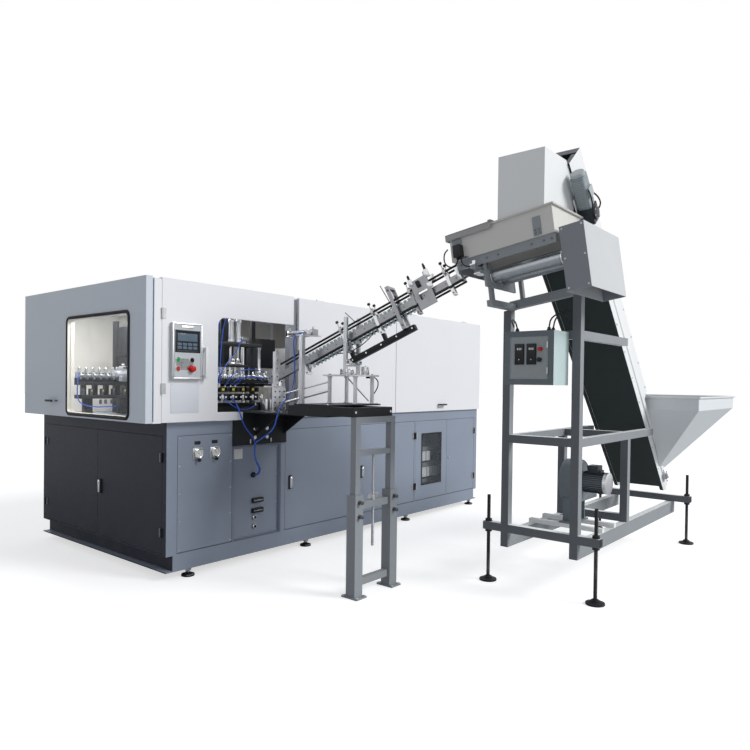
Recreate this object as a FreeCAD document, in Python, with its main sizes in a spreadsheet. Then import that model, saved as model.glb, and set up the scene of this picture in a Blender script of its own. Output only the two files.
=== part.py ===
"""Blow moulding machine: main machine, preform infeed on its stand, and preform feeder.

Directions: +X runs to the right along the machine's front, +Y to its back and +Z up. Positions are
written from the cabinet's front left corner on the floor; the model's origin lies under the front
left levelling foot. All sizes are in millimetres and degrees.
"""

import FreeCAD, Part
import math
import os
from types import SimpleNamespace

import Sketcher
from FreeCAD import Placement, Rotation, Vector

SIZES = {
    # cabinet
    "base_length": 3970,
    "base_depth": 1890,
    "base_top": 1085,
    "foot_height": 60,
    "foot_pad_radius": 45,
    "foot_pad_height": 14,
    "foot_stem_radius": 12,
    "foot_inset_x": 200,
    "foot_inset_y": 40,
    "foot_second": 1330,
    "foot_third": 2700,
    "foot_last_inset": 90,
    "plinth_height": 120,
    "plinth_flange": 60,
    "plinth_web": 8,
    "post_depth": 50,
    "corner_post": 83,
    "deck_thickness": 12,
    "door_depth": 20,
    "door_sheet": 3,
    "door_gap": 3,
    "door_bottom": 186,
    "door_top": 988,
    "gauge_panel_width": 454,
    "service_panel_width": 457,
    "air_door_width": 794,
    "valve_door_width": 910,
    "meter_door_width": 559,
    "breaker_door_width": 545,
    "thin_strip": 8,
    "wide_strip": 44,
    "middle_strip": 4,
    "hinge_strip": 18,
    "service_recess": 30,
    "service_panel_top": 881,
    "gauge_radius": 34,
    "gauge_height": 860,
    "gauge_pitch": 144,
    "turn_handle_length": 98,
    "turn_handle_width": 24,
    "turn_handle_height": 578,
    "end_door_meeting": 945,
    "meter_window_width": 329,
    "meter_window_height": 504,
    "meter_window_bottom": 344,
    # hood
    "hood_top": 2050,
    "hood_depth": 1820,
    "hood_overhang": 183,
    "hood_post": 64,
    "roof_thickness": 12,
    "panel_thickness": 12,
    "flap_depth": 25,
    "flap_front": 20,
    "flap_gap": 8,
    "middle_flap_left": 1175,
    "hood_seam": 2444,
    "end_flap_depth": 47,
    "end_window_left": 163,
    "end_window_width": 898,
    "end_window_bottom": 1107,
    "end_window_height": 725,
    "window_corner": 40,
    "seal_width": 16,
    "pane_thickness": 6,
    "control_door_left": -70,
    "control_door_width": 1160,
    "control_door_depth": 40,
    "control_door_front": 50,
    "opening_left": 371,
    "opening_top": 1825,
    "operator_panel_left": -10,
    "operator_panel_width": 230,
    "operator_panel_bottom": 1381,
    "operator_panel_height": 376,
    "operator_panel_depth": 30,
    "screen_width": 186,
    "screen_height": 136,
    "push_button_radius": 13,
    # blow station
    "station_left": 330,
    "station_width": 660,
    "station_front": 330,
    "station_depth": 840,
    "station_top": 1700,
    "tie_column_radius": 20,
    "platen_thickness": 40,
    "platen_width": 500,
    "platen_height": 244,
    "mould_thickness": 110,
    "mould_opening": 100,
    "cavity_pitch": 76,
    "cavity_count": 4,
    "cavity_radius": 30,
    "stretch_rod_radius": 6,
    "gripper_height": 1400,
    # infeed
    "bridge_left": 600,
    "bridge_width": 390,
    "bridge_reach": 1150,
    "bridge_height": 1150,
    "bridge_beam": 60,
    "rail_yaw": 15,
    "rail_tilt": 25.5,
    "rail_mouth_x": 860,
    "rail_mouth_y": -50,
    "rail_mouth_height": 1370,
    "rail_length": 1740,
    "rail_bar_height": 46,
    "rail_bar_thickness": 8,
    "rail_inner_gap": 30,
    "guard_radius": 6,
    "preform_radius": 12,
    "preform_pitch": 34,
    "preform_count": 30,
    "table_x": 1020,
    "table_y": -740,
    "table_column": 20,
    "table_span_x": 180,
    "table_span_y": 250,
    "table_height": 1427,
    "tall_post_height": 415,
    "tall_post_gap": 60,
    "stand_x": 804,
    "stand_leg_pitch": 350,
    "stand_y": 1147,
    "stand_outer_leg": 75,
    "stand_outer_top": 655,
    "stand_inner_leg": 45,
    "stand_screw_radius": 9,
    # feeder
    "feeder_x": 1500,
    "feeder_length": 2130,
    "feeder_near_y": -2260,
    "feeder_width": 550,
    "feeder_tube": 55,
    "feeder_rail_height": 100,
    "feeder_rail_bottom": 260,
    "feeder_foot_reach": 140,
    "feeder_foot_radius": 60,
    "feeder_stem_radius": 12,
    "feeder_stem_top": 600,
    "shelf_height": 1030,
    "box_beam_height": 1720,
    "inner_post_x": 2400,
    "trough_x": 1105,
    "trough_y": -1545,
    "trough_bottom": 2160,
    "trough_tilt": 8.5,
    "trough_length": 720,
    "trough_width": 420,
    "trough_depth": 170,
    "trough_sheet": 3,
    "roller_radius": 43,
    "roller_gap": 26,
    "roller_drop": 135,
    "roller_length": 465,
    "roller_middle": 165,
    "trough_beam_drop": 310,
    "gear_housing_depth": 150,
    "gear_housing_height": 384,
    "gear_housing_width": 560,
    "gear_housing_drop": 362,
    "chute_width": 310,
    "chute_top": 2775,
    "elevator_angle": 47.8,
    "elevator_length": 3150,
    "elevator_width": 430,
    "elevator_depth": 215,
    "elevator_body": 132,
    "elevator_guard": 2110,
    "elevator_side": 30,
    "elevator_side_gap": 5,
    "drive_reach": 306.4,
    "elevator_head_x": 1500,
    "elevator_head_height": 2830,
    "pulley_radius": 40,
    "pulley_inset": 150,
    "shaft_radius": 12,
    "belt_thickness": 5,
    "cleat_height": 22,
    "cleat_count": 13,
    "hopper_left": 3050,
    "hopper_length": 1230,
    "hopper_width": 850,
    "hopper_far": 245,
    "hopper_rim_height": 1290,
    "hopper_band": 110,
    "hopper_bottom": 650,
    "hopper_sheet": 4,
    "blower_x": 2050,
    "blower_radius": 150,
    "blower_depth": 110,
    "blower_motor_radius": 70,
    "control_box_width": 340,
    "control_box_height": 340,
    "control_box_depth": 215,
    "hose_radius": 5,
    "cable_radius": 4,
    "hinge_radius": 7,
    "seat_gap": 0.3,
}

doc = FreeCAD.newDocument("BlowMouldingMachine")


class Measure:
    """A size that knows its value and the sheet formula that gives it."""

    def __init__(self, value, formula):
        self.value = float(value)
        self.formula = formula

    def combine(self, other, sign, turned=False):
        other = measure(other)
        first, second = (other, self) if turned else (self, other)
        value = {
            "+": lambda: first.value + second.value,
            "-": lambda: first.value - second.value,
            "*": lambda: first.value * second.value,
            "/": lambda: first.value / second.value,
        }[sign]()
        return Measure(value, f"({first.formula} {sign} {second.formula})")

    def __add__(self, other):
        return self.combine(other, "+")

    def __radd__(self, other):
        return self.combine(other, "+", True)

    def __sub__(self, other):
        return self.combine(other, "-")

    def __rsub__(self, other):
        return self.combine(other, "-", True)

    def __mul__(self, other):
        return self.combine(other, "*")

    def __rmul__(self, other):
        return self.combine(other, "*", True)

    def __truediv__(self, other):
        return self.combine(other, "/")

    def __neg__(self):
        return 0 - self


def measure(amount):
    """A plain number as a Measure; a Measure stays as it is."""
    if isinstance(amount, Measure):
        return amount
    return Measure(amount, f"({float(amount)!r})")


def sine(angle):
    return Measure(math.sin(math.radians(angle.value)), f"sin({angle.formula} * 1 deg)")


def cosine(angle):
    return Measure(math.cos(math.radians(angle.value)), f"cos({angle.formula} * 1 deg)")


def tangent(angle):
    return sine(angle) / cosine(angle)


def read_sheet():
    """Write the sizes into the document's sheet and hand them back as named measures."""
    sheet = doc.addObject("Spreadsheet::Sheet", "sizes")
    names = SimpleNamespace()
    for row, (name, value) in enumerate(SIZES.items(), start=1):
        sheet.set(f"A{row}", name)
        sheet.set(f"B{row}", str(value))
        sheet.setAlias(f"B{row}", name)
        setattr(names, name, Measure(value, f"sizes.{name}"))
    doc.recompute()
    return names


size = read_sheet()


# ---------------------------------------------------------------- building blocks


def bind(thing, path, amount):
    """Tie one property of a thing to the sheet."""
    thing.setExpression(path, measure(amount).formula)


def put(thing, x=0, y=0, z=0):
    """Tie a thing's position to the sheet."""
    for axis, amount in (("x", x), ("y", y), ("z", z)):
        bind(thing, f".Placement.Base.{axis}", amount)
    return thing


def block(x, y, z, length, width, height):
    """A box from its low corner and its extents along X, Y and Z."""
    box = doc.addObject("Part::Box", "Block")
    bind(box, "Length", length)
    bind(box, "Width", width)
    bind(box, "Height", height)
    return put(box, x, y, z)


TURNS = {
    "x": Rotation(Vector(0, 1, 0), 90),
    "y": Rotation(Vector(1, 0, 0), -90),
    "z": Rotation(),
}


def rod(x, y, z, radius, length, axis="z"):
    """A round bar that starts at a point and runs along +X, +Y or +Z."""
    bar = doc.addObject("Part::Cylinder", "Rod")
    bind(bar, "Radius", radius)
    bind(bar, "Height", length)
    bar.Placement = Placement(Vector(), TURNS[axis])
    return put(bar, x, y, z)


def bar(x, y, z, radius, length, axis="z", sides=12):
    """A many-sided bar, for pins, nuts and stems too thin to need a true circle."""
    prism = doc.addObject("Part::Prism", "Bar")
    prism.Polygon = sides
    bind(prism, "Circumradius", radius)
    bind(prism, "Height", length)
    prism.Placement = Placement(Vector(), TURNS[axis])
    return put(prism, x, y, z)


def joined(*pieces):
    """Pieces welded into one solid."""
    weld = doc.addObject("Part::MultiFuse", "Welded")
    weld.Shapes = list(pieces)
    weld.Refine = True
    return weld


def without(base, *tools):
    """A solid with others cut out of it."""
    cut = doc.addObject("Part::Cut", "Cut")
    cut.Base = base
    cut.Tool = joined(*tools) if len(tools) > 1 else tools[0]
    return cut


def tray(x, y, z, length, width, height, sheet, open_side):
    """A folded sheet tray: a box hollowed from one side, named by its outward direction."""
    inner = {
        "+x": (sheet, sheet, sheet, length, width - 2 * sheet, height - 2 * sheet),
        "-x": (-sheet, sheet, sheet, length, width - 2 * sheet, height - 2 * sheet),
        "+y": (sheet, sheet, sheet, length - 2 * sheet, width, height - 2 * sheet),
        "-y": (sheet, -sheet, sheet, length - 2 * sheet, width, height - 2 * sheet),
        "-z": (sheet, sheet, -sheet, length - 2 * sheet, width - 2 * sheet, height),
    }[open_side]
    dx, dy, dz, *extents = inner
    return without(block(x, y, z, length, width, height), block(x + dx, y + dy, z + dz, *extents))


def origin_plane(body, role):
    return next(f for f in body.Origin.OriginFeatures if f.Role == role)


def fix_point(sketch, geometry, end, u, v):
    """Hold one point of a sketch at sheet-driven coordinates."""
    for kind, amount in (("DistanceX", u), ("DistanceY", v)):
        amount = measure(amount)
        index = sketch.addConstraint(Sketcher.Constraint(kind, geometry, end, amount.value))
        sketch.setExpression(f"Constraints[{index}]", amount.formula)


def draw_polygon(sketch, points):
    """A closed outline whose corners are held at sheet-driven coordinates."""
    places = [Vector(measure(u).value, measure(v).value, 0) for u, v in points]
    first = sketch.GeometryCount
    count = len(places)
    for index, place in enumerate(places):
        sketch.addGeometry(Part.LineSegment(place, places[(index + 1) % count]), False)
    for index in range(count):
        following = first + (index + 1) % count
        sketch.addConstraint(Sketcher.Constraint("Coincident", first + index, 2, following, 1))
    for index, (u, v) in enumerate(points):
        fix_point(sketch, first + index, 1, u, v)


def draw_circle(sketch, u, v, radius):
    centre = Vector(measure(u).value, measure(v).value, 0)
    radius = measure(radius)
    index = sketch.addGeometry(Part.Circle(centre, Vector(0, 0, 1), radius.value), False)
    fix_point(sketch, index, 3, u, v)
    held = sketch.addConstraint(Sketcher.Constraint("Radius", index, radius.value))
    sketch.setExpression(f"Constraints[{held}]", radius.formula)


def draw_window(sketch, left, low, width, height, corner):
    """A rectangle with round corners, from four corner arcs and the lines between them."""
    left, low, width, height = (measure(amount) for amount in (left, low, width, height))
    corner = measure(corner)
    centres = [
        (left + corner, low + corner, 180),
        (left + width - corner, low + corner, 270),
        (left + width - corner, low + height - corner, 0),
        (left + corner, low + height - corner, 90),
    ]
    first = sketch.GeometryCount
    ends = []
    for u, v, start in centres:
        circle = Part.Circle(Vector(u.value, v.value, 0), Vector(0, 0, 1), corner.value)
        angles = math.radians(start), math.radians(start + 90)
        arc = Part.ArcOfCircle(circle, *angles)
        sketch.addGeometry(arc, False)
        ends.append((arc.StartPoint, arc.EndPoint))
    for index in range(4):
        sketch.addGeometry(Part.LineSegment(ends[index][1], ends[(index + 1) % 4][0]), False)
    for index in range(4):
        line = first + 4 + index
        sketch.addConstraint(Sketcher.Constraint("Tangent", first + index, 2, line, 1))
        following = first + (index + 1) % 4
        sketch.addConstraint(Sketcher.Constraint("Tangent", line, 2, following, 1))
    for index, level in enumerate(("Horizontal", "Vertical", "Horizontal", "Vertical")):
        sketch.addConstraint(Sketcher.Constraint(level, first + 4 + index))
    held = sketch.addConstraint(Sketcher.Constraint("Radius", first, corner.value))
    sketch.setExpression(f"Constraints[{held}]", corner.formula)
    fix_point(sketch, first, 3, centres[0][0], centres[0][1])
    fix_point(sketch, first + 2, 3, centres[2][0], centres[2][1])


def new_sketch(body, role, outline=None, windows=(), circles=()):
    """A sketch on one of a body's own planes, with its outline and its inner shapes."""
    sketch = body.newObject("Sketcher::SketchObject", "Sketch")
    sketch.AttachmentSupport = (origin_plane(body, role), [""])
    sketch.MapMode = "FlatFace"
    if outline:
        draw_polygon(sketch, outline)
    for window in windows:
        draw_window(sketch, *window)
    for circle in circles:
        draw_circle(sketch, *circle)
    return sketch


PLANES = {"xy": "XY_Plane", "xz": "XZ_Plane", "yz": "YZ_Plane"}


def profile(plane, at, depth, outline=None, windows=(), circles=()):
    """A sketched section padded along +X, +Y or +Z, with inner shapes left open."""
    body = doc.addObject("PartDesign::Body", "Profile")
    sketch = new_sketch(body, PLANES[plane], outline, windows, circles)
    pad = body.newObject("PartDesign::Pad", "Pad")
    pad.Profile = sketch
    bind(pad, "Length", depth)
    pad.Reversed = plane == "xz"
    return put(body, *at)


def revolved(at, outline, axis="z"):
    """A turned piece: radius and height pairs swept round the vertical axis."""
    body = doc.addObject("PartDesign::Body", "Turned")
    sketch = new_sketch(body, "XZ_Plane", outline)
    turn = body.newObject("PartDesign::Revolution", "Turn")
    turn.Profile = sketch
    turn.ReferenceAxis = (sketch, ["V_Axis"])
    turn.Angle = 360
    body.Placement = Placement(Vector(), TURNS[axis])
    return put(body, *at)


def channel(x, y, z, length, width, height, web, open_side):
    """A rolled C section: a box with a slot along one side, named by its open direction."""
    slot = {
        "+y": (0, web, web, length, width, height - 2 * web),
        "-y": (0, -web, web, length, width, height - 2 * web),
        "+x": (web, 0, web, length, width, height - 2 * web),
        "-x": (-web, 0, web, length, width, height - 2 * web),
    }[open_side]
    dx, dy, dz, *extents = slot
    return without(block(x, y, z, length, width, height), block(x + dx, y + dy, z + dz, *extents))


# ---------------------------------------------------------------- nodes and their frames

NODES = {}


def compound(pieces):
    group = doc.addObject("Part::Compound", "Group")
    group.Links = list(pieces)
    return group


def turned_group(pieces, axis, angle):
    """Pieces turned together by a sheet-driven angle."""
    group = compound(pieces)
    group.Placement = Placement(Vector(), Rotation(axis, angle.value))
    bind(group, ".Placement.Rotation.Angle", angle)
    return group


def node(name, *pieces, base=(0, 0, 0), turns=()):
    """Register a named node; turns are applied first to last, then the base position."""
    group = compound(pieces)
    for axis, angle in turns:
        group = turned_group([group], axis, angle)
    if turns:
        group = compound([group])
    x, y, z = base
    put(group, x - size.foot_inset_x, y - size.foot_inset_y, z)
    group.Label = name
    NODES[name] = group
    return group


def rail_node(name, *pieces):
    """A node in the rail's frame: -Y runs outward and up along the rail from its mouth."""
    mouth = (size.rail_mouth_x, size.rail_mouth_y, size.rail_mouth_height)
    turns = ((Vector(-1, 0, 0), size.rail_tilt), (Vector(0, 0, 1), size.rail_yaw))
    node(name, *pieces, base=mouth, turns=turns)


def trough_node(name, *pieces):
    """A node in the trough's frame: +Y runs down towards the machine from its far end."""
    corner = (size.trough_x, size.trough_y, size.trough_bottom)
    node(name, *pieces, base=corner, turns=((Vector(-1, 0, 0), size.trough_tilt),))


def elevator_node(name, *pieces):
    """A node in the elevator's frame: +X runs down the slope from its head, +Z out of the belt."""
    near_side = size.feeder_near_y + size.feeder_tube + size.elevator_side_gap
    head = (size.elevator_head_x, near_side, size.elevator_head_height)
    node(name, *pieces, base=head, turns=((Vector(0, 1, 0), size.elevator_angle),))


# ---------------------------------------------------------------- cabinet

PLINTH_TOP = size.foot_height + size.plinth_height
DECK_LOW = size.base_top - size.deck_thickness
INNER_DEPTH = size.base_depth - 2 * size.post_depth

FRONT_BAYS = (
    ("gauge_panel", size.gauge_panel_width, size.thin_strip),
    ("service_panel", size.service_panel_width, size.wide_strip),
    ("air_door", size.air_door_width, size.middle_strip),
    ("valve_door", size.valve_door_width, size.hinge_strip),
    ("meter_door", size.meter_door_width, None),
    ("breaker_door", size.breaker_door_width, None),
)


def front_layout():
    """Left edges of the panels and doors along the front, and the strips between them."""
    edge = size.corner_post + size.door_gap
    lefts, strips = {}, []
    for name, width, strip in FRONT_BAYS:
        lefts[name] = edge
        edge = edge + width + size.door_gap
        if strip is not None:
            strips.append((edge, strip))
            edge = edge + strip + size.door_gap
    return lefts, strips, edge


BAY_LEFT, STRIPS, LAST_EDGE = front_layout()
SWITCH_FLOOR = 20


def plinth():
    """The base channels, and the levelling feet under the long ones."""
    flange, web = size.plinth_flange, size.plinth_web
    low, tall = size.foot_height, size.plinth_height
    long_side = size.base_length - 2 * flange
    far = size.base_depth - flange
    channels = [
        channel(0, 0, low, flange, size.base_depth, tall, web, "-x"),
        channel(size.base_length - flange, 0, low, flange, size.base_depth, tall, web, "+x"),
        channel(flange, 0, low, long_side, flange, tall, web, "+y"),
        channel(flange, far, low, long_side, flange, tall, web, "-y"),
    ]
    columns = (
        size.foot_inset_x,
        size.foot_second,
        size.foot_third,
        size.base_length - size.foot_last_inset,
    )
    feet = []
    for x in columns:
        for y in (size.foot_inset_y, size.base_depth - size.foot_inset_y):
            pad = bar(x, y, 0, size.foot_pad_radius, size.foot_pad_height, sides=16)
            nut = bar(x, y, size.foot_pad_height, size.foot_stem_radius + 8, 12, sides=6)
            stem = bar(x, y, 0, size.foot_stem_radius, size.foot_height, sides=8)
            feet.append(joined(pad, nut, stem))
    node("plinth", *channels, *feet)


def cabinet_frame():
    """Posts, top rails and the deck plate that the clamp and the hood stand on."""
    low, depth = PLINTH_TOP, size.post_depth
    rail_low = size.door_top + size.door_gap
    tall = rail_low - low
    rear = size.base_depth - depth
    right = size.base_length - depth
    posts = [block(0, 0, low, size.corner_post, depth, tall)]
    posts += [block(x, 0, low, width, depth, tall) for x, width in STRIPS]
    posts += [block(LAST_EDGE, 0, low, size.base_length - LAST_EDGE, depth, tall)]
    posts += [block(x, rear, low, depth, depth, tall) for x in (0, size.base_length / 2, right)]
    rail_tall = DECK_LOW - rail_low
    lap = size.door_gap + 12
    strips = []
    for name, width, back, high in (
        ("gauge_panel", size.gauge_panel_width, size.door_depth, rail_low),
        ("service_panel", size.service_panel_width, size.service_recess, size.service_panel_top),
    ):
        edge = BAY_LEFT[name] - size.door_gap
        far_edge = BAY_LEFT[name] + width - 12
        strips += [block(x, back, low, lap, 8, high - low) for x in (edge, far_edge)]
    strips += [
        block(size.base_length - size.door_depth - 8, y, low, 8, lap, tall)
        for y in (depth, rear - lap)
    ]
    middle = size.base_length / 2
    strips += [
        block(x, size.base_depth - size.door_depth - 8, low, lap, 8, tall)
        for x in (depth, middle - lap, middle + depth, right - lap)
    ]
    floor_left = BAY_LEFT["meter_door"] + 40
    floor_bars = [
        block(floor_left + x, depth, low, 30, INNER_DEPTH, SWITCH_FLOOR) for x in (0, 990)
    ]
    rails = [
        block(0, 0, rail_low, size.base_length, depth, rail_tall),
        block(0, rear, rail_low, size.base_length, depth, rail_tall),
        block(0, depth, rail_low, depth, INNER_DEPTH, rail_tall),
        block(right, depth, rail_low, depth, INNER_DEPTH, rail_tall),
    ]
    backing_low = size.service_panel_top + size.door_gap
    left = BAY_LEFT["service_panel"]
    backing = block(left, 0, backing_low, size.service_panel_width, depth, rail_low - backing_low)
    deck = block(0, 0, DECK_LOW, size.base_length, size.base_depth, size.deck_thickness)
    node("cabinet_frame", *posts, *strips, *floor_bars, *rails, backing, deck)


def cabinet_panels():
    """Fixed panels: gauge panel, recessed service panel, right end and two rear panels."""
    low, tall = size.door_bottom, size.door_top - size.door_bottom
    depth, sheet = size.door_depth, size.door_sheet
    gauge_x = BAY_LEFT["gauge_panel"] + size.gauge_panel_width / 2 - size.gauge_pitch / 2
    gauge = tray(BAY_LEFT["gauge_panel"], 0, low, size.gauge_panel_width, depth, tall, sheet, "+y")
    holes = [
        bar(gauge_x + shift, -5, size.gauge_height, size.gauge_radius - 8, depth + 5, "y")
        for shift in (0, size.gauge_pitch)
    ]
    service = tray(
        BAY_LEFT["service_panel"],
        0,
        low,
        size.service_panel_width,
        size.service_recess,
        size.service_panel_top - low,
        sheet,
        "-y",
    )
    end = tray(
        size.base_length - depth,
        size.post_depth + size.door_gap,
        low,
        depth,
        INNER_DEPTH - 2 * size.door_gap,
        tall,
        sheet,
        "-x",
    )
    half = size.base_length / 2 - size.post_depth
    rear = size.base_depth - depth
    backs = [
        tray(x, rear, low, width, depth, tall, sheet, "-y")
        for x, width in (
            (size.post_depth + size.door_gap, half - 2 * size.door_gap),
            (size.base_length / 2 + size.post_depth + size.door_gap, half - size.post_depth
             - 2 * size.door_gap),
        )
    ]
    node("cabinet_panels", without(gauge, *holes), service, end, *backs)


def front_fittings():
    """Two regulator gauges, two connectors, two drain ports and the cable grommet."""
    pieces = []
    first = BAY_LEFT["gauge_panel"] + size.gauge_panel_width / 2 - size.gauge_pitch / 2
    for shift in (0, size.gauge_pitch):
        x = first + shift
        flange = block(x - 40, -4, size.gauge_height - 40, 80, 4, 80)
        body = rod(x, -18, size.gauge_height, size.gauge_radius, 18, "y")
        neck = bar(x, 0, size.gauge_height, size.gauge_radius - 12, 60, "y")
        pieces.append(joined(flange, body, neck))
    left = BAY_LEFT["service_panel"]
    back = size.service_recess - size.door_sheet
    for z in (362, 440):
        pieces.append(block(left + 191, back - 24, z, 100, 24, 35))
    for z in (257, 326):
        port = joined(
            bar(left + 216, back - 6, z, 17, 6, "y"), bar(left + 216, back - 16, z, 11, 12, "y")
        )
        pieces.append(port)
    pieces.append(
        without(
            bar(left + 201, back - 8, 655, 20, 8, "y", 24), bar(left + 201, back - 8, 655, 11, 8, "y")
        )
    )
    node("front_fittings", *pieces)


def cabinet_door(left, width, open_side="+y"):
    """A folded front door, flush with the cabinet's posts."""
    tall = size.door_top - size.door_bottom
    return tray(
        left, 0, size.door_bottom, width, size.door_depth, tall, size.door_sheet, open_side
    )


def door_hinges(edge, side, along="x"):
    """Two butt hinges at a door's edge: barrels over the gap, each with its leaf on the door."""
    tall = size.door_top - size.door_bottom
    middle = size.door_bottom + tall / 2
    radius = size.hinge_radius
    axis = edge + side * size.door_gap / 2
    off = -radius - size.seat_gap
    hinges = []
    for share in (-0.32, 0.32):
        z = middle + share * tall - 30
        start = axis - 30 if side > 0 else axis + 2
        if along == "x":
            leaf = block(start, -3, z, 28, 3, 60)
            arm = block(axis - 4 if side > 0 else axis, off, z, 4, -off - 2, 60)
            barrel = bar(axis, off, z, radius, 60, sides=8)
        else:
            leaf = block(-3, start, z, 3, 28, 60)
            arm = block(off, axis - 4 if side > 0 else axis, z, -off - 2, 4, 60)
            barrel = bar(off, axis, z, radius, 60, sides=8)
        hinges.append(joined(barrel, arm, leaf))
    return hinges


def turn_handle(x, outward="-y"):
    """A turn handle: a grip on a round boss that seats in the lock plate's hole."""
    z = size.turn_handle_height
    grip_low = z + 32 - size.turn_handle_length
    half = size.turn_handle_width / 2
    if outward == "-y":
        grip = block(x - half, -20, grip_low, size.turn_handle_width, 13.7, size.turn_handle_length)
        boss = bar(x, -9, z, 8, 9 + size.door_sheet, "y")
    else:
        grip = block(-20, x - half, grip_low, 13.7, size.turn_handle_width, size.turn_handle_length)
        boss = bar(-9, x, z, 8, 9 + size.door_sheet, "x")
    return joined(grip, boss)


def lock_plate(x, outward="-y"):
    """The plate that a turn handle lies against, with the boss's hole."""
    z = size.turn_handle_height
    half = size.turn_handle_width / 2 + 4
    low, tall = z + 26 - size.turn_handle_length, size.turn_handle_length + 12
    if outward == "-y":
        plate, hole = block(x - half, -6, low, 2 * half, 6, tall), rod(x, -6, z, 8.3, 6, "y")
    else:
        plate, hole = block(-6, x - half, low, 6, 2 * half, tall), rod(-6, x, z, 8.3, 6, "x")
    return without(plate, hole)


def front_doors():
    """Air and valve doors with turn handles, and the two switchgear doors."""
    z, hole = size.turn_handle_height, 8.3
    for name, handle_at, width in (
        ("air_door", 51, size.air_door_width),
        ("valve_door", 117, size.valve_door_width),
    ):
        left = BAY_LEFT[name]
        skin_hole = rod(left + handle_at, -1, z, hole, size.door_sheet + 2, "y")
        door = without(cabinet_door(left, width), skin_hole)
        node(name, door, lock_plate(left + handle_at), *door_hinges(left + width, 1))
        node(f"{name}_handle", turn_handle(left + handle_at))
    meter_left = BAY_LEFT["meter_door"]
    window_left = meter_left + (size.meter_door_width - size.meter_window_width) / 2
    window = (window_left, size.meter_window_bottom, size.meter_window_width,
              size.meter_window_height)
    opening = block(window[0], -2, window[1], window[2], size.door_sheet + 4, window[3])
    door = without(cabinet_door(meter_left, size.meter_door_width), opening)
    border = 14
    frame = without(
        block(window[0] - border, -5, window[1] - border, window[2] + 2 * border, 5,
              window[3] + 2 * border),
        block(window[0], -6, window[1], window[2], 7, window[3]),
    )
    pane = block(window[0], -3, window[1], window[2], size.pane_thickness, window[3])
    node("switchgear_door_left", door, frame, pane, *door_hinges(meter_left, -1))
    breaker_left = BAY_LEFT["breaker_door"]
    latch = bar(breaker_left + 40, -7, z, 13, 7, "y")
    hinges = door_hinges(breaker_left + size.breaker_door_width, 1)
    node("switchgear_door_right", cabinet_door(breaker_left, size.breaker_door_width), latch,
         *hinges)


def end_doors():
    """The pair of doors in the cabinet's left end; the front one carries the handle."""
    low, tall = size.door_bottom, size.door_top - size.door_bottom
    first = size.post_depth + size.door_gap
    last = size.base_depth - first
    meeting = size.end_door_meeting
    handle_y = meeting - 52
    depth, sheet = size.door_depth, size.door_sheet
    front = tray(0, first, low, depth, meeting - first - size.door_gap / 2, tall, sheet, "+x")
    hole = rod(-1, handle_y, size.turn_handle_height, 8.3, sheet + 2, "x")
    rear_left = meeting + size.door_gap / 2
    rear = tray(0, rear_left, low, depth, last - rear_left, tall, sheet, "+x")
    node(
        "end_door_front",
        without(front, hole),
        lock_plate(handle_y, "-x"),
        *door_hinges(first, -1, "y"),
    )
    node("end_door_rear", rear, *door_hinges(last, 1, "y"))
    node("end_door_handle", turn_handle(handle_y, "-x"))


def switchgear():
    """Mounting plate behind the switchgear doors, with rails, breakers and contactors."""
    left = BAY_LEFT["meter_door"] + 40
    plate_y = 190
    pieces = [
        block(left, plate_y, 240, 1020, 6, 700),
        block(left, plate_y + 6, PLINTH_TOP + SWITCH_FLOOR, 30, 30, 760),
        block(left + 990, plate_y + 6, PLINTH_TOP + SWITCH_FLOOR, 30, 30, 760),
    ]
    for z, widths in (
        (760, (54, 54, 90, 54)),
        (590, (72, 72, 72, 72)),
        (420, (45, 45, 45, 90, 45, 45, 90, 45, 45, 60)),
    ):
        reach = 960 if z == 420 else 520
        pieces.append(block(left + 20, plate_y - 8, z, reach, 8, 35))
        x = left + 60
        for width in widths:
            pieces.append(block(x, plate_y - 83, z - 35, width - 4, 75, 100))
            x = x + width + 8
        pieces.append(block(left + 20, plate_y - 60, z - 100, reach, 60, 40))
    pieces.append(block(left + 600, plate_y - 120, 560, 240, 120, 330))
    node("switchgear", *pieces)


# ---------------------------------------------------------------- hood

HOOD_LEFT = -size.hood_overhang
ROOF_LOW = size.hood_top - size.roof_thickness
HOOD_LOW = size.base_top
PANEL_FRONT = size.flap_depth - size.flap_front + size.seat_gap
HOOD_START = HOOD_LEFT + size.end_flap_depth + size.seat_gap


def hood_shell():
    """Posts, roof, rear and right end panels, overhanging floor and the opening's sill."""
    post = size.hood_post
    inner_left = HOOD_LEFT + size.end_flap_depth + size.flap_gap
    tall = ROOF_LOW - HOOD_LOW
    rear = size.hood_depth - post
    right = size.base_length - post - size.panel_thickness
    floor = size.panel_thickness
    front_post = size.control_door_left - size.door_gap - inner_left
    door_front = -size.control_door_front
    pieces = [
        block(inner_left, door_front, HOOD_LOW + floor, front_post, 65, tall - floor),
        block(inner_left, rear, HOOD_LOW + floor, post, post, tall - floor),
    ]
    for x, wide in ((1096, 70), (size.hood_seam - 25, 50), (right, post)):
        pieces.append(block(x, PANEL_FRONT, HOOD_LOW, wide, 50, tall))
        pieces.append(block(x, rear, HOOD_LOW, wide, post, tall))
    long = size.base_length - HOOD_START
    deep = size.hood_depth - PANEL_FRONT
    roof = block(HOOD_START, PANEL_FRONT, ROOF_LOW, long, deep, size.roof_thickness)
    back = block(HOOD_START, size.hood_depth, HOOD_LOW, long, size.panel_thickness,
                 size.hood_top - HOOD_LOW)
    end = block(size.base_length - size.panel_thickness, PANEL_FRONT, HOOD_LOW,
                size.panel_thickness, deep, tall)
    post_edge = size.control_door_left - size.door_gap
    floors = [
        block(HOOD_START, door_front, HOOD_LOW, post_edge - HOOD_START,
              size.hood_depth - door_front, floor),
        block(post_edge, -8, HOOD_LOW, -post_edge, size.hood_depth + 8, floor),
    ]
    sill = block(size.opening_left, -45, HOOD_LOW, 228, 45 + 30, 58)
    node("hood_shell", *pieces, roof, back, end, *floors, sill)


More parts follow.
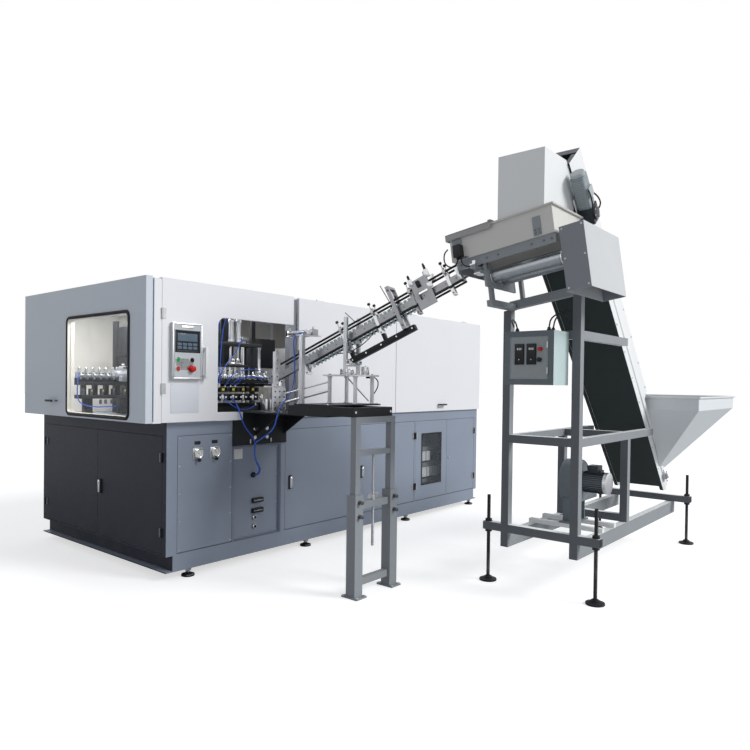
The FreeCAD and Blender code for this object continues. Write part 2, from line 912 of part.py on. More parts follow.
def pull_handle_x(x, y, z, length):
    """A bow handle along X, standing off a surface that faces -Y."""
    grip = block(x, y - 38, z, length, 12, 14)
    legs = [block(x + shift, y - 26, z, 14, 26, 14) for shift in (0, length - 14)]
    return joined(grip, *legs)


def pull_handle_y(x, y, z, length):
    """A bow handle along Y, standing off a surface that faces -X."""
    grip = block(x - 38, y, z, 12, length, 14)
    legs = [block(x - 26, y + shift, z, 26, 14, 14) for shift in (0, length - 14)]
    return joined(grip, *legs)


def top_hinges(start, length, along):
    """Two hinges on a lifting cover's top edge, their barrels just over the hood's roof."""
    radius, top = size.hinge_radius, size.hood_top
    axis_z = top + radius + size.seat_gap
    hinges = []
    for share in (0.2, 0.8):
        at = start + share * length - 35
        if along == "y":
            edge = HOOD_LEFT + size.end_flap_depth
            leaf = block(edge - 28, at, top, 28, 70, 3)
            barrel = bar(edge, at, axis_z, radius, 70, "y", 8)
        else:
            edge = size.flap_depth - size.flap_front
            leaf = block(at, edge - 24, top, 70, 24, 3)
            barrel = bar(at, edge, axis_z, radius, 70, "x", 8)
        hinges.append(joined(leaf, barrel))
    return hinges


def end_flap():
    """The lifting end cover with its sealed window and bow handle."""
    low = HOOD_LOW + 2
    outline = [
        (0, 0),
        (size.hood_depth + 45, 0),
        (size.hood_depth + 45, size.hood_top - low),
        (0, size.hood_top - low),
    ]
    shift = 45
    window = (
        size.end_window_left + shift,
        size.end_window_bottom - low,
        size.end_window_width,
        size.end_window_height,
    )
    sheet = size.door_sheet
    slab = profile("yz", (HOOD_LEFT, -shift, low), size.end_flap_depth, outline,
                   [(*window, size.window_corner)])
    edge = size.hood_depth + 45 - sheet
    top = size.hood_top - low - sheet
    frame = (window[0] - 20, window[1] - 20, window[2] + 40, window[3] + 40, size.window_corner)
    pocket = profile("yz", (HOOD_LEFT + sheet, -shift, low), size.end_flap_depth,
                     [(sheet, sheet), (edge, sheet), (edge, top), (sheet, top)], [frame])
    cover = without(slab, pocket)
    seal_inner = (
        window[0] + size.seal_width,
        window[1] + size.seal_width,
        window[2] - 2 * size.seal_width,
        window[3] - 2 * size.seal_width,
        size.window_corner - size.seal_width,
    )
    seal = profile(
        "yz",
        (HOOD_LEFT - 5, -shift, low),
        size.end_flap_depth + 5,
        None,
        [(*window, size.window_corner), seal_inner],
    )
    pane = profile("yz", (HOOD_LEFT + 14, -shift, low), size.pane_thickness, None, [seal_inner])
    handle = pull_handle_y(HOOD_LEFT, 1216, 1196, 141)
    hinges = top_hinges(-shift, size.hood_depth + shift, "y")
    node("end_flap", cover, seal, pane, handle, *hinges)


def control_door():
    """The front left door: full height beside the opening, and a band above it."""
    left, front = size.control_door_left, -size.control_door_front
    low = HOOD_LOW + 3
    arm = size.opening_left - left
    outline = [
        (0, 0),
        (arm, 0),
        (arm, size.opening_top - low),
        (size.control_door_width, size.opening_top - low),
        (size.control_door_width, size.hood_top - low),
        (0, size.hood_top - low),
    ]
    slab = profile("xz", (left, front, low), size.control_door_depth, outline)
    sheet = size.door_sheet
    band = size.opening_top - low + sheet
    edge, top = size.control_door_width - sheet, size.hood_top - low - sheet
    pocket = profile(
        "xz",
        (left, front + sheet, low),
        size.control_door_depth,
        [(sheet, sheet), (arm - sheet, sheet), (arm - sheet, band), (edge, band), (edge, top),
         (sheet, top)],
    )
    door = without(slab, pocket)
    grip_x = size.operator_panel_left + size.operator_panel_width + 18
    grip_low = size.operator_panel_bottom + 10
    grip = joined(
        block(grip_x, front - 46, grip_low, 26, 16, 210),
        block(grip_x, front - 30, grip_low, 26, 30, 18),
        block(grip_x, front - 30, grip_low + 192, 26, 30, 18),
    )
    barrel_x = left - size.door_gap / 2
    off = front - size.hinge_radius - size.seat_gap
    hinges = [
        joined(
            bar(barrel_x, off, z, size.hinge_radius, 70, sides=8),
            block(barrel_x, off, z, 4, front - off - 2, 70),
            block(barrel_x + 2, front - 3, z, 28, 3, 70),
        )
        for z in (1280, 1780)
    ]
    node("control_door", door, grip, *hinges)


BUTTON_X = (40, 146)
BUTTON_Z = (70, 128)


def operator_panel():
    """The sloped-edge housing on the control door, its screen and its button bezels."""
    left, low = size.operator_panel_left, size.operator_panel_bottom
    wide, tall, deep = (
        size.operator_panel_width,
        size.operator_panel_height,
        size.operator_panel_depth,
    )
    front = -size.control_door_front - deep
    chamfer = 14
    outline = [
        (0, deep),
        (0, chamfer),
        (chamfer, 0),
        (wide - chamfer, 0),
        (wide, chamfer),
        (wide, deep),
    ]
    housing = profile("xy", (left, front, low), tall, outline)
    screen_left = left + (wide - size.screen_width) / 2
    screen_low = low + tall - size.screen_height - 54
    recess = block(screen_left, front - 1, screen_low, size.screen_width, 5, size.screen_height)
    wells = [
        bar(left + x, front - 1, low + z, size.push_button_radius + 0.6, 19, "y", 16)
        for x in BUTTON_X
        for z in BUTTON_Z
    ]
    screen = block(screen_left, front + 1, screen_low, size.screen_width, 3, size.screen_height)
    bezels = [
        without(
            bar(left + x, front - 3, low + z, size.push_button_radius + 5, 3, "y", 16),
            bar(left + x, front - 4, low + z, size.push_button_radius + 0.6, 5, "y", 16),
        )
        for x in BUTTON_X
        for z in BUTTON_Z
    ]
    node("operator_panel", without(housing, recess, *wells), screen, *bezels)


def operator_buttons():
    """Start and stop buttons, the mode selector and the emergency stop's mushroom head."""
    left, low = size.operator_panel_left, size.operator_panel_bottom
    front = -size.control_door_front - size.operator_panel_depth
    radius = size.push_button_radius

    def cap(x, z):
        return bar(left + x, front - 9, low + z, radius, 9 + 12, "y", 16)

    node("start_button", cap(BUTTON_X[0], BUTTON_Z[1]))
    node("stop_button", cap(BUTTON_X[0], BUTTON_Z[0]))
    lever = block(left + BUTTON_X[1] - 4, front - 20, low + BUTTON_Z[1] - radius + 1, 8, 12,
                  2 * radius - 2)
    node("mode_selector", joined(cap(BUTTON_X[1], BUTTON_Z[1]), lever))
    mushroom = bar(left + BUTTON_X[1], front - 32, low + BUTTON_Z[0], 20, 16, "y", 24)
    stem = bar(left + BUTTON_X[1], front - 16, low + BUTTON_Z[0], radius, 16 + 8, "y", 24)
    node("emergency_stop", joined(mushroom, stem))


def hood_flaps():
    """The two lifting covers along the front, each a tray with a bow handle at its foot."""
    low = HOOD_LOW + 2
    tall = size.hood_top - low
    right = size.hood_seam + size.flap_gap / 2
    for name, left, width in (
        ("middle_flap", size.middle_flap_left,
         size.hood_seam - size.flap_gap / 2 - size.middle_flap_left),
        ("right_flap", right, size.base_length + 15 - right),
    ):
        cover = tray(left, -size.flap_front, low, width, size.flap_depth, tall, 3, "+y")
        handle = pull_handle_x(left + width / 2 - 60, -size.flap_front, HOOD_LOW + 60, 120)
        node(name, cover, handle, *top_hinges(left, width, "x"))


# ---------------------------------------------------------------- blow station and oven

STATION_MIDDLE = size.station_front + size.station_depth / 2


def clamp_frame():
    """Bed plate, four tie columns, head plate, guide rails and two blow cylinders."""
    left, wide = size.station_left, size.station_width
    front, deep = size.station_front, size.station_depth
    bed = block(left, front, HOOD_LOW, wide, deep, 25)
    head = block(left, front, size.station_top, wide, deep, 28)
    column_tall = size.station_top - HOOD_LOW - 25
    inset = 45
    columns = [
        bar(left + x, front + y, HOOD_LOW + 25, size.tie_column_radius, column_tall, sides=16)
        for x in (inset, wide - inset)
        for y in (inset, deep - inset)
    ]
    guide_low, guide_tall = size.gripper_height - 24, 24 - size.seat_gap
    guide_y = STATION_MIDDLE - 165
    arm_reach = guide_y - front - inset
    columns = [
        joined(columns[0], block(left + inset - 20, front + inset, guide_low, 40, arm_reach,
                                 guide_tall)),
        columns[1],
        joined(columns[2], block(left + wide - inset - 20, front + inset, guide_low, 40,
                                 arm_reach, guide_tall)),
        columns[3],
        block(left - 130, guide_y, guide_low, wide + 260, 30, guide_tall),
    ]
    rails = [
        block(left + x, front + 80, HOOD_LOW + 25, 30, deep - 160, 20)
        for x in (120, wide - 150)
    ]
    cylinders = []
    for x in (wide / 2 - 110, wide / 2 + 110):
        flange = block(left + x - 45, STATION_MIDDLE - 45, size.station_top + 28, 90, 90, 16)
        barrel = bar(left + x, STATION_MIDDLE, size.station_top + 44, 36, 190, sides=24)
        cap = block(left + x - 40, STATION_MIDDLE - 40, size.station_top + 234, 80, 80, 22)
        cylinders.append(joined(flange, barrel, cap))
    node("clamp_frame", bed, head, *columns, *rails, *cylinders)


def bottle_cavity(x, y, low):
    """Half of a bottle's form, turned about a vertical axis in the parting face."""
    radius = size.cavity_radius
    outline = [(0, 0), (radius, 0), (radius, 85), (14, 115), (14, 300), (0, 300)]
    return revolved((x, y, low), outline)


def platen(name, side):
    """A platen on its guide rails with the mould half that it carries; side is -1 or +1."""
    left = size.station_left + (size.station_width - size.platen_width) / 2
    low = HOOD_LOW + 45 + size.seat_gap
    face = STATION_MIDDLE + side * size.mould_opening
    reach = size.mould_thickness + size.platen_thickness
    if side < 0:
        mould_y, plate_y = face - size.mould_thickness, face - reach
    else:
        mould_y, plate_y = face, face + size.mould_thickness
    plate = block(left, plate_y, low, size.platen_width, size.platen_thickness,
                  size.platen_height)
    mould = block(left + 60, mould_y, low + 25, size.platen_width - 120, size.mould_thickness,
                  size.platen_height - 70)
    first = (size.cavity_count - 1) / 2
    middle = size.station_left + size.station_width / 2
    cavities = [
        bottle_cavity(middle + (index - first) * size.cavity_pitch, face, low + 45)
        for index in range(SIZES["cavity_count"])
    ]
    node(name, plate, without(mould, *cavities))


def stretch_head():
    """The cross plate on two tie columns' line with its stretch rods."""
    middle = size.station_left + size.station_width / 2
    low = 1590
    plate = block(middle - 250, STATION_MIDDLE - 45, low, 500, 90, 24)
    first = (size.cavity_count - 1) / 2
    pieces = [plate]
    for index in range(SIZES["cavity_count"]):
        x = middle + (index - first) * size.cavity_pitch
        pieces.append(bar(x, STATION_MIDDLE, low - 130, size.stretch_rod_radius, 130, sides=8))
    for x in (-110, 110):
        pieces.append(bar(middle + x, STATION_MIDDLE, low + 24, 10,
                          size.station_top - low - 24 - size.seat_gap))
    node("stretch_head", *pieces)


def gripper_beam():
    """The transfer beam in front of the moulds with its row of preform grippers."""
    y = STATION_MIDDLE - 170
    z = size.gripper_height
    beam = block(-60, y, z, 1150, 40, 30)
    pieces = [beam]
    for index in range(14):
        x = -20 + index * 76
        pieces.append(
            joined(
                block(x, y - 12, z + 30, 44, 64, 14),
                block(x + 2, y + 52, z + 30, 12, 70, 14),
                block(x + 30, y + 52, z + 30, 12, 70, 14),
            )
        )
    node("gripper_beam", *pieces)


def heating_line():
    """The preforms' two rails on brackets, and the lamp housings behind them, open in front."""
    pieces = [block(1180, y, 1330, 2500, 8, 40) for y in (230, 270)]
    for x in (1250, 2350, 3600):
        pieces.append(block(x, 238, HOOD_LOW, 40, 32, 1330 - HOOD_LOW + 40))
    for index in range(3):
        x = 1400 + index * 760
        box = tray(x, 330, HOOD_LOW + 60, 700, 240, 520, 4, "-y")
        foot = block(x + 40, 340, HOOD_LOW, 620, 200, 60)
        lamps = [
            bar(x + 4, 380, HOOD_LOW + 130 + row * 110, 6, 692, "x", 8) for row in range(4)
        ]
        pieces += [box, foot, *lamps]
    node("heating_line", *pieces)


# ---------------------------------------------------------------- infeed and stand


def infeed_bridge():
    """Black bracket plate and shelf bolted to the cabinet, and the beams out to the stand."""
    left, wide = size.bridge_left, size.bridge_width
    top = size.bridge_height
    bracket = block(541, -12, 890, 518, 12, HOOD_LOW - 890)
    riser = block(left + 5, -12, HOOD_LOW, 450, 12, top - 10 - HOOD_LOW)
    shelf = block(left, -920, top - 10, 560, 920, 10)
    gussets = [
        profile("yz", (x, -300, 960), 10, [(288, 0), (288, top - 10 - 960), (0, top - 10 - 960)])
        for x in (left + 150, left + 430)
    ]
    start = -540
    beams = [
        block(x, -size.bridge_reach, top, size.bridge_beam - 10, size.bridge_reach + start,
              size.bridge_beam)
        for x in (left, left + wide - size.bridge_beam + 10)
    ]
    between = left + size.bridge_beam - 10
    ties = [
        block(between, y, top, wide - 2 * (size.bridge_beam - 10), 40, size.bridge_beam)
        for y in (-size.bridge_reach, start - 60)
    ]
    node("infeed_bridge", joined(bracket, riser, shelf, *gussets), *beams, *ties)


TABLE_BASE = size.bridge_height + size.bridge_beam


def rail_at(y):
    """The rail's middle over a line across the machine's front."""
    return size.rail_mouth_x + (size.rail_mouth_y - y) * tangent(size.rail_yaw)


def infeed_table():
    """Table plate on four columns, the tall posts beside the rail and the stop cylinder."""
    x0, y0 = size.table_x - size.table_span_x / 2, size.table_y - size.table_span_y / 2
    column = size.table_column
    base = block(size.bridge_left + 20, y0 - 40, TABLE_BASE, 540, size.table_span_y + 80, 10)
    columns = [
        block(x0 + dx - column / 2, y0 + dy - column / 2, TABLE_BASE + 10, column, column,
              size.table_height - 12 - TABLE_BASE - 10)
        for dx in (0, size.table_span_x)
        for dy in (0, size.table_span_y)
    ]
    top = block(x0 - 35, y0 - 35, size.table_height - 12, size.table_span_x + 70,
                size.table_span_y + 70, 12)
    rail_x = rail_at(size.table_y + 12)
    posts = [
        block(rail_x + side * (size.tall_post_gap + 8) - 8, size.table_y - 3, size.table_height,
              16, 30, size.tall_post_height)
        for side in (-1, 1)
    ]
    yoke = block(rail_x - size.tall_post_gap, size.table_y, size.table_height + 60,
                 2 * size.tall_post_gap, 24, 16)
    near_column = joined(
        block(690, -300, size.bridge_height, 30, 30, 440), block(640, -330, 1330, 120, 100, 10)
    )
    far_column = block(790, -470, size.bridge_height, 30, 30, 560)
    rod_z = 1742
    barrel = joined(
        bar(985, -400, rod_z, 20, 290, "y", 16),
        block(960, -410, rod_z - 26, 50, 20, 52),
        block(960, -120, rod_z - 26, 50, 20, 52),
    )
    bore = rod(985, -150, rod_z, 7 + size.seat_gap, 60, "y")
    bracket = block(790, -470, rod_z - 32, 195, 70, 6)
    port = block(950, -310, rod_z - 10, 18, 20, 20)
    sensor = block(x0 + size.table_span_x + 35, -805, 1403, 30, 30, 24)
    node(
        "infeed_table",
        base,
        *columns,
        top,
        *posts,
        yoke,
        near_column,
        far_column,
        without(joined(barrel, port), bore),
        bracket,
        sensor,
    )
    node("stop_plunger", rod(985, -145, rod_z, 7, 60, "y"))


RAIL_SIDE = size.rail_inner_gap / 2 + size.rail_bar_thickness


def infeed_rail():
    """Guide bars, guard rods, ties, frames and the row of preforms that hangs in the rail."""
    gap, thick, tall = size.rail_inner_gap / 2, size.rail_bar_thickness, size.rail_bar_height
    length = size.rail_length
    pieces = []
    for x in (-gap - thick, gap):
        pieces.append(block(x, -length, -tall / 2, thick, length, tall))
    side = RAIL_SIDE
    guard = size.guard_radius
    out = side + 8
    for x in (-out - guard - size.seat_gap, out + guard + size.seat_gap):
        pieces.append(bar(x, -length + 40, 72, guard, length - 200, "y", 8))
        pieces.append(bar(x, -length + 40, -40, guard, length - 440, "y", 8))
    under, over = -88, 95
    for y in (-340, -728, -1010, -1320, -1600):
        pieces.append(
            joined(
                block(-out, y - 11, under, 8, 22, over - under),
                block(side, y - 11, under, 8, 22, over - under),
                block(-out, y - 11, over, 2 * out, 22, 8),
                block(-out, y - 11, under - 8, 2 * out, 22, 8),
            )
        )
    inner = out + 2 * guard + 2 * size.seat_gap
    portal_y = -1200
    portal = without(
        block(-inner - 20, portal_y, -150, 2 * inner + 40, 26, 330),
        block(-inner, portal_y - 1, -130, 2 * inner, 28, 290),
    )
    plate = without(
        block(-inner - 12, -1480, -90, 12, 130, 210), block(-inner - 13, -1450, -30, 14, 70, 60)
    )
    pin = 8
    reach = (size.tall_post_gap - size.seat_gap - pin * sine(size.rail_yaw)) / cosine(
        size.rail_yaw)
    pieces += [portal, plate, bar(-reach, -728, under - 8 - pin, pin, 2 * reach, "x", 8)]
    rail_node("infeed_rail", *pieces)


def preforms():
    """The row of preforms that hangs by its neck rings between the rail's guide bars."""
    seat = size.rail_bar_height / 2 + size.seat_gap
    radius = size.preform_radius
    pieces = []
    for index in range(SIZES["preform_count"]):
        y = -300 - index * size.preform_pitch
        neck = bar(0, y, seat, radius + 4.5, 20, sides=6)
        body = bar(0, y, -70, radius, 71 + size.rail_bar_height / 2, sides=6)
        pieces.append(joined(neck, body))
    rail_node("preforms", *pieces)


def stand():
    """Outer frame on the floor, inner frame inside it with its screw, and the wing nut."""
    outer, inner = size.stand_outer_leg, size.stand_inner_leg
    pitch, x0, y0 = size.stand_leg_pitch, size.stand_x, -size.stand_y
    foot = 10
    legs = []
    for side in (-1, 1):
        centre = x0 + side * pitch / 2
        leg = block(centre - outer / 2, y0 - outer / 2, foot, outer, outer,
                    size.stand_outer_top - foot)
        bore = block(centre - inner / 2 - 1, y0 - inner / 2 - 1, foot - 1, inner + 2, inner + 2,
                     size.stand_outer_top)
        pad = block(centre - outer / 2 - 10, y0 - outer / 2 - 30, 0, outer + 20, outer + 60, foot)
        legs.append(without(leg, bore))
        legs.append(pad)
    between = pitch - outer
    bars = [
        block(x0 - between / 2, y0 - 20, z, between, 40, 46) for z in (70, 560)
    ]
    hole = bar(x0, y0, 555, size.stand_screw_radius + 1.5, 60)
    node("stand_outer_frame", *legs, bars[0], without(bars[1], hole))
    top = size.bridge_height
    reach = top - 250
    inner_legs = [
        block(x0 + side * pitch / 2 - inner / 2, y0 - inner / 2, 250, inner, inner, reach - 40)
        for side in (-1, 1)
    ]
    head = block(x0 - pitch / 2 - inner / 2, y0 - inner / 2, top - 40, pitch + inner, inner, 40)
    cross = block(x0 - pitch / 2 + inner / 2, y0 - 20, 900, pitch - inner, 40, 36)
    screw = bar(x0, y0, 300, size.stand_screw_radius, 600)
    node("stand_inner_frame", *inner_legs, head, cross, screw)
    nut_low = 606 + size.seat_gap
    hub = bar(x0, y0, nut_low, 18, 26)
    wings = [
        block(x0 + (-52 if side < 0 else 12), y0 - 4, nut_low + 8, 40, 8, 30) for side in (-1, 1)
    ]
    bore = bar(x0, y0, nut_low - 1, size.stand_screw_radius + 0.6, 60)
    node("stand_wing_nut", without(joined(hub, *wings), bore))


# ---------------------------------------------------------------- feeder

NEAR = size.feeder_near_y
FAR = size.feeder_near_y + size.feeder_width
TUBE = size.feeder_tube
RAIL_TOP = size.feeder_rail_bottom + size.feeder_rail_height


def beam_underside(y):
    """Height of the sloped beam's underside over a point along Y."""
    start = size.trough_bottom - size.trough_beam_drop / cosine(size.trough_tilt)
    return start + (size.trough_y - y) * tangent(size.trough_tilt)


def elevator_underside(z):
    """Where the elevator's underside crosses a level."""
    run = (size.elevator_head_height - z) / tangent(size.elevator_angle)
    return size.elevator_head_x + run - size.elevator_depth / 2 / sine(size.elevator_angle)


def feeder_frame():
    """Two long rails, cross beams out to the feet, posts, shelf and box beams."""
    x0, length = size.feeder_x, size.feeder_length
    reach = size.feeder_foot_reach
    rails = [
        block(x0, y, size.feeder_rail_bottom, length, TUBE, size.feeder_rail_height)
        for y in (NEAR, FAR - TUBE)
    ]
    cross_wide = size.feeder_width + 2 * reach
    beams = []
    for x in (x0, x0 + length - TUBE):
        beam = block(x, NEAR - reach, RAIL_TOP, TUBE, cross_wide, TUBE)
        holes = [
            bar(x + TUBE / 2, y, RAIL_TOP - 1, size.feeder_stem_radius + 0.5, TUBE + 2)
            for y in (NEAR - reach + 30, FAR + reach - 30)
        ]
        beams.append(without(beam, *holes))
    post_low = RAIL_TOP + TUBE
    posts = []
    for y in (NEAR, FAR - TUBE):
        outline = [
            (0, 0),
            (TUBE, 0),
            (TUBE, beam_underside(y + TUBE) - post_low),
            (0, beam_underside(y) - post_low),
        ]
        posts.append(profile("yz", (x0, y, post_low), TUBE, outline))
        posts.append(block(size.inner_post_x, y, RAIL_TOP, TUBE, TUBE,
                           size.shelf_height - TUBE - RAIL_TOP))
    between = size.feeder_width - 2 * TUBE
    cross = [
        block(x, NEAR + TUBE, z, TUBE, between, TUBE)
        for x, z in (
            (x0, size.shelf_height - TUBE),
            (x0, size.box_beam_height - TUBE),
            (size.inner_post_x, RAIL_TOP),
            (size.inner_post_x, size.shelf_height - TUBE),
        )
    ]
    bars = []
    for top in (size.shelf_height, size.box_beam_height):
        finish = elevator_underside(top)
        for y in (NEAR, FAR - TUBE):
            bars.append(block(x0 + TUBE, y, top - TUBE, finish - x0 - TUBE, TUBE, TUBE))
        for y in (NEAR + TUBE, FAR - TUBE - size.elevator_side_gap):
            bars.append(block(finish - 60, y, top - TUBE, 60, size.elevator_side_gap, TUBE))
    node("feeder_frame", *rails, *beams, *posts, *cross, *bars)


def feeder_feet():
    """Four pads on long threaded stems, each with a lock nut above and below its beam."""
    reach = size.feeder_foot_reach - 30
    stem, pad = size.feeder_stem_radius, size.feeder_foot_radius
    pieces = []
    for x in (size.feeder_x + TUBE / 2, size.feeder_x + size.feeder_length - TUBE / 2):
        for y in (NEAR - reach, FAR + reach):
            nuts = [
                bar(x, y, z, stem + 11, 18, sides=6) for z in (RAIL_TOP - 18, RAIL_TOP + TUBE)
            ]
            pieces.append(
                joined(
                    bar(x, y, 0, pad, 12, sides=16),
                    bar(x, y, 12, stem + 16, 16),
                    bar(x, y, 0, stem, size.feeder_stem_top, sides=8),
                    *nuts,
                )
            )
    node("feeder_feet", *pieces)


ROLLER_SPREAD = size.roller_radius + size.roller_gap / 2
ROLLER_X = (size.roller_middle - ROLLER_SPREAD, size.roller_middle + ROLLER_SPREAD)


def from_rail(x, y, z):
    """Y and Z, on the machine, of a point given in the rail's frame."""
    reach = y * cosine(size.rail_tilt) + z * sine(size.rail_tilt)
    across = x * sine(size.rail_yaw) + reach * cosine(size.rail_yaw)
    rise = z * cosine(size.rail_tilt) - y * sine(size.rail_tilt)
    return size.rail_mouth_y + across, size.rail_mouth_height + rise


def into_trough(y, z):
    """Where a point on the machine lies along the trough's slope."""
    along = (y - size.trough_y) * cosine(size.trough_tilt)
    return along - (z - size.trough_bottom) * sine(size.trough_tilt)


def trough():
    """The sheet trough over the rollers, with its rim, lid, floor plates and carriage."""
    long, wide, tall = size.trough_length, size.trough_width, size.trough_depth
    sheet = size.trough_sheet
    rim = 16
    shell = joined(
        block(0, -long, 0, wide, sheet, tall),
        block(0, -sheet, 0, wide, sheet, tall),
        block(0, -long, 0, sheet, long, tall),
        block(wide - sheet, -long, 0, sheet, long, tall),
        block(-rim, -long - rim, tall, wide + 2 * rim, rim + sheet, sheet),
        block(-rim, -sheet, tall, wide + 2 * rim, rim + sheet, sheet),
        block(-rim, -long - rim, tall, rim + sheet, long + 2 * rim, sheet),
        block(wide - sheet, -long - rim, tall, rim + sheet, long + 2 * rim, sheet),
        block(0, -long, 0, 24, long, 4),
        block(wide - 24, -long, 0, 24, long, 4),
    )
    lid = block(0, -316, tall + sheet, wide, 332, 6)
    bearing_y = -(long - 20 - size.roller_length) + 10
    low = -size.roller_drop - 70
    inner = wide - 40
    bearing = joined(
        block(20, bearing_y, low, inner, 14, 112),
        block(20, bearing_y, low, 24, 14, -8 - low),
        block(wide - 44, bearing_y, low, 24, 14, -8 - low),
    )
    holes = [
        bar(x, bearing_y - 1, -size.roller_drop, size.shaft_radius + 0.8, 16, "y")
        for x in ROLLER_X
    ]
    beam_x, beam_low = size.feeder_x - size.trough_x, -size.trough_beam_drop
    beam_top = beam_low + TUBE
    leg_y = bearing_y + 14
    left_leg = block(90, leg_y, beam_top - 28, 40, 20, -38 - beam_top + 28)
    right_leg = block(wide - 12, leg_y - 60, beam_top, 30, 24, -12 - beam_top)
    arm = block(70, leg_y - 10, beam_top - 68, beam_x - 70, 40, 40)
    beam = block(beam_x, -long - 20, beam_low, TUBE, long - 150, TUBE)
    rest_y = into_trough(*from_rail(-RAIL_SIDE, -size.rail_length, -size.rail_bar_height / 2))
    rest = block(20, rest_y - 8 - size.seat_gap, -80, inner, 8, 60)
    skirt = rest_y - size.seat_gap + long - 4
    skirts = [block(x, -long + 4, -60, 8, skirt, 60) for x in (12, wide - 20)]
    cylinder = bar(-60, leg_y + 25, -size.roller_drop + 52, 16, 120, "x")
    saddle = block(-20, leg_y, -size.roller_drop + 18, 70, 42, 18)
    shaker = block(-42, -95, 15, 42, 50, 75)
    trough_node("trough", shell, lid)
    trough_node(
        "trough_carriage",
        *skirts,
        without(bearing, *holes),
        left_leg,
        right_leg,
        arm,
        beam,
        rest,
        cylinder,
        saddle,
        shaker,
    )


def rollers():
    """Two long rollers side by side under the trough, with their journals."""
    start = -size.trough_length + 20
    for name, x in (("roller_left", ROLLER_X[0]), ("roller_right", ROLLER_X[1])):
        drum = bar(x, start, -size.roller_drop, size.roller_radius, size.roller_length, "y", 32)
        journal = rod(x, start - 100, -size.roller_drop, size.shaft_radius,
                      size.roller_length + 123, "y")
        trough_node(name, joined(drum, journal))


def gear_housing():
    """The drive cover at the rollers' upper end, a folded box open underneath."""
    deep = size.gear_housing_depth
    y = -size.trough_length - 20 - deep
    cover = tray(15, y, -size.gear_housing_drop, size.gear_housing_width, deep,
                 size.gear_housing_height, 3, "-z")
    bearings = [
        rod(x, y + deep - 5, -size.roller_drop, size.shaft_radius + size.seat_gap, 10, "y")
        for x in ROLLER_X
    ]
    trough_node("gear_housing", without(cover, *bearings))


# ---------------------------------------------------------------- elevator and hopper

HALF = size.elevator_depth / 2
BODY_TOP = -HALF + size.elevator_body
AXIS_Z = BODY_TOP - 15 - size.pulley_radius
BELT_IN = size.pulley_radius + size.seat_gap
BELT_OUT = BELT_IN + size.belt_thickness
PULLEY_AT = (size.pulley_inset, size.elevator_length - size.pulley_inset)


def elevator_space(reach, margin, inset=0, below=300):
    """The room that the elevator takes, from its underside up to a height over its belt."""
    tool = block(-400, inset - margin, -HALF - below, size.elevator_length + 800,
                 size.elevator_width + 2 * margin - 2 * inset, reach + HALF + below)
    group = compound([turned_group([tool], Vector(0, 1, 0), size.elevator_angle)])
    near_side = NEAR + TUBE + size.elevator_side_gap
    return put(group, size.elevator_head_x, near_side, size.elevator_head_height)


def elevator_frame():
    """Side members, guards, covers, slider bed, bearings and the gearmotor on its plate."""
    long, wide, side = size.elevator_length, size.elevator_width, size.elevator_side
    body, guard = size.elevator_body, size.elevator_guard
    hole = size.shaft_radius + size.seat_gap
    outline = [(0, 0), (long - 45, 0), (long, 45), (long, body), (0, body)]
    circles = [(at, AXIS_Z + HALF, hole) for at in PULLEY_AT]
    sides = [
        profile("xz", (0, y, -HALF), side, outline, circles=circles) for y in (0, wide - side)
    ]
    guard_tall = size.elevator_depth - body
    guard_outline = [(0, 0), (guard + 25, 0), (guard, guard_tall), (0, guard_tall)]
    guards = [
        profile("xz", (0, y, BODY_TOP), size.trough_sheet, guard_outline)
        for y in (0, wide - size.trough_sheet)
    ]
    inner = wide - 2 * size.trough_sheet
    top = block(0, size.trough_sheet, HALF - 3, guard, inner, 3)
    end = block(0, size.trough_sheet, BODY_TOP + 20, 3, inner, HALF - BODY_TOP - 23)
    between = wide - 2 * side
    under = block(330, side, -HALF + 3, long - 420, between, 3)
    bed = block(PULLEY_AT[0] + 70, side, AXIS_Z - 8, PULLEY_AT[1] - PULLEY_AT[0] - 140, between,
                16)
    bearings = []
    for at in PULLEY_AT:
        for y in (-28, wide):
            flange = block(at - 45, y + (20 if y == -28 else 0), AXIS_Z - 30, 90, 8, 60)
            ring = bar(at, y, AXIS_Z, 30, 28, "y")
            bore = bar(at, y - 1, AXIS_Z, hole + 0.5, 30, "y")
            bearings.append(without(joined(flange, ring), bore))
    drive = size.drive_reach - size.trough_length * sine(size.trough_tilt)
    plate = block(drive, -6, -HALF - 104, 210, 6, 144)
    gearbox = block(drive + 80, -100, -HALF - 102, 110, 94, 105)
    motor = profile("yz", (drive - 130, -97, -HALF - 100), 210, None, [(0, 0, 86, 98, 20)])
    elevator_node("elevator_frame", *sides, *guards, top, end, under, bed, *bearings, plate,
                  gearbox, motor)


def belt_loop(radius, inset):
    """A stadium-shaped block round the two pulleys."""
    wide = size.elevator_width - 2 * inset
    start, finish = PULLEY_AT
    return joined(
        block(start, inset, AXIS_Z - radius, finish - start, wide, 2 * radius),
        rod(start, inset, AXIS_Z, radius, wide, "y"),
        rod(finish, inset, AXIS_Z, radius, wide, "y"),
    )


def elevator_belt():
    """The closed belt with its cleats on both runs."""
    inset = size.elevator_side + 8
    loop = without(belt_loop(BELT_OUT, inset), belt_loop(BELT_IN, inset - 1))
    start, finish = PULLEY_AT
    pitch = (finish - start) / size.cleat_count
    wide = size.elevator_width - 2 * inset
    cleats = []
    for index in range(SIZES["cleat_count"]):
        x = start + pitch * (index + 0.5)
        for z in (AXIS_Z + BELT_IN, AXIS_Z - BELT_OUT - size.cleat_height):
            tall = size.cleat_height + size.belt_thickness
            cleats.append(block(x, inset + 6, z, 5, wide - 12, tall))
    elevator_node("elevator_belt", joined(loop, *cleats))


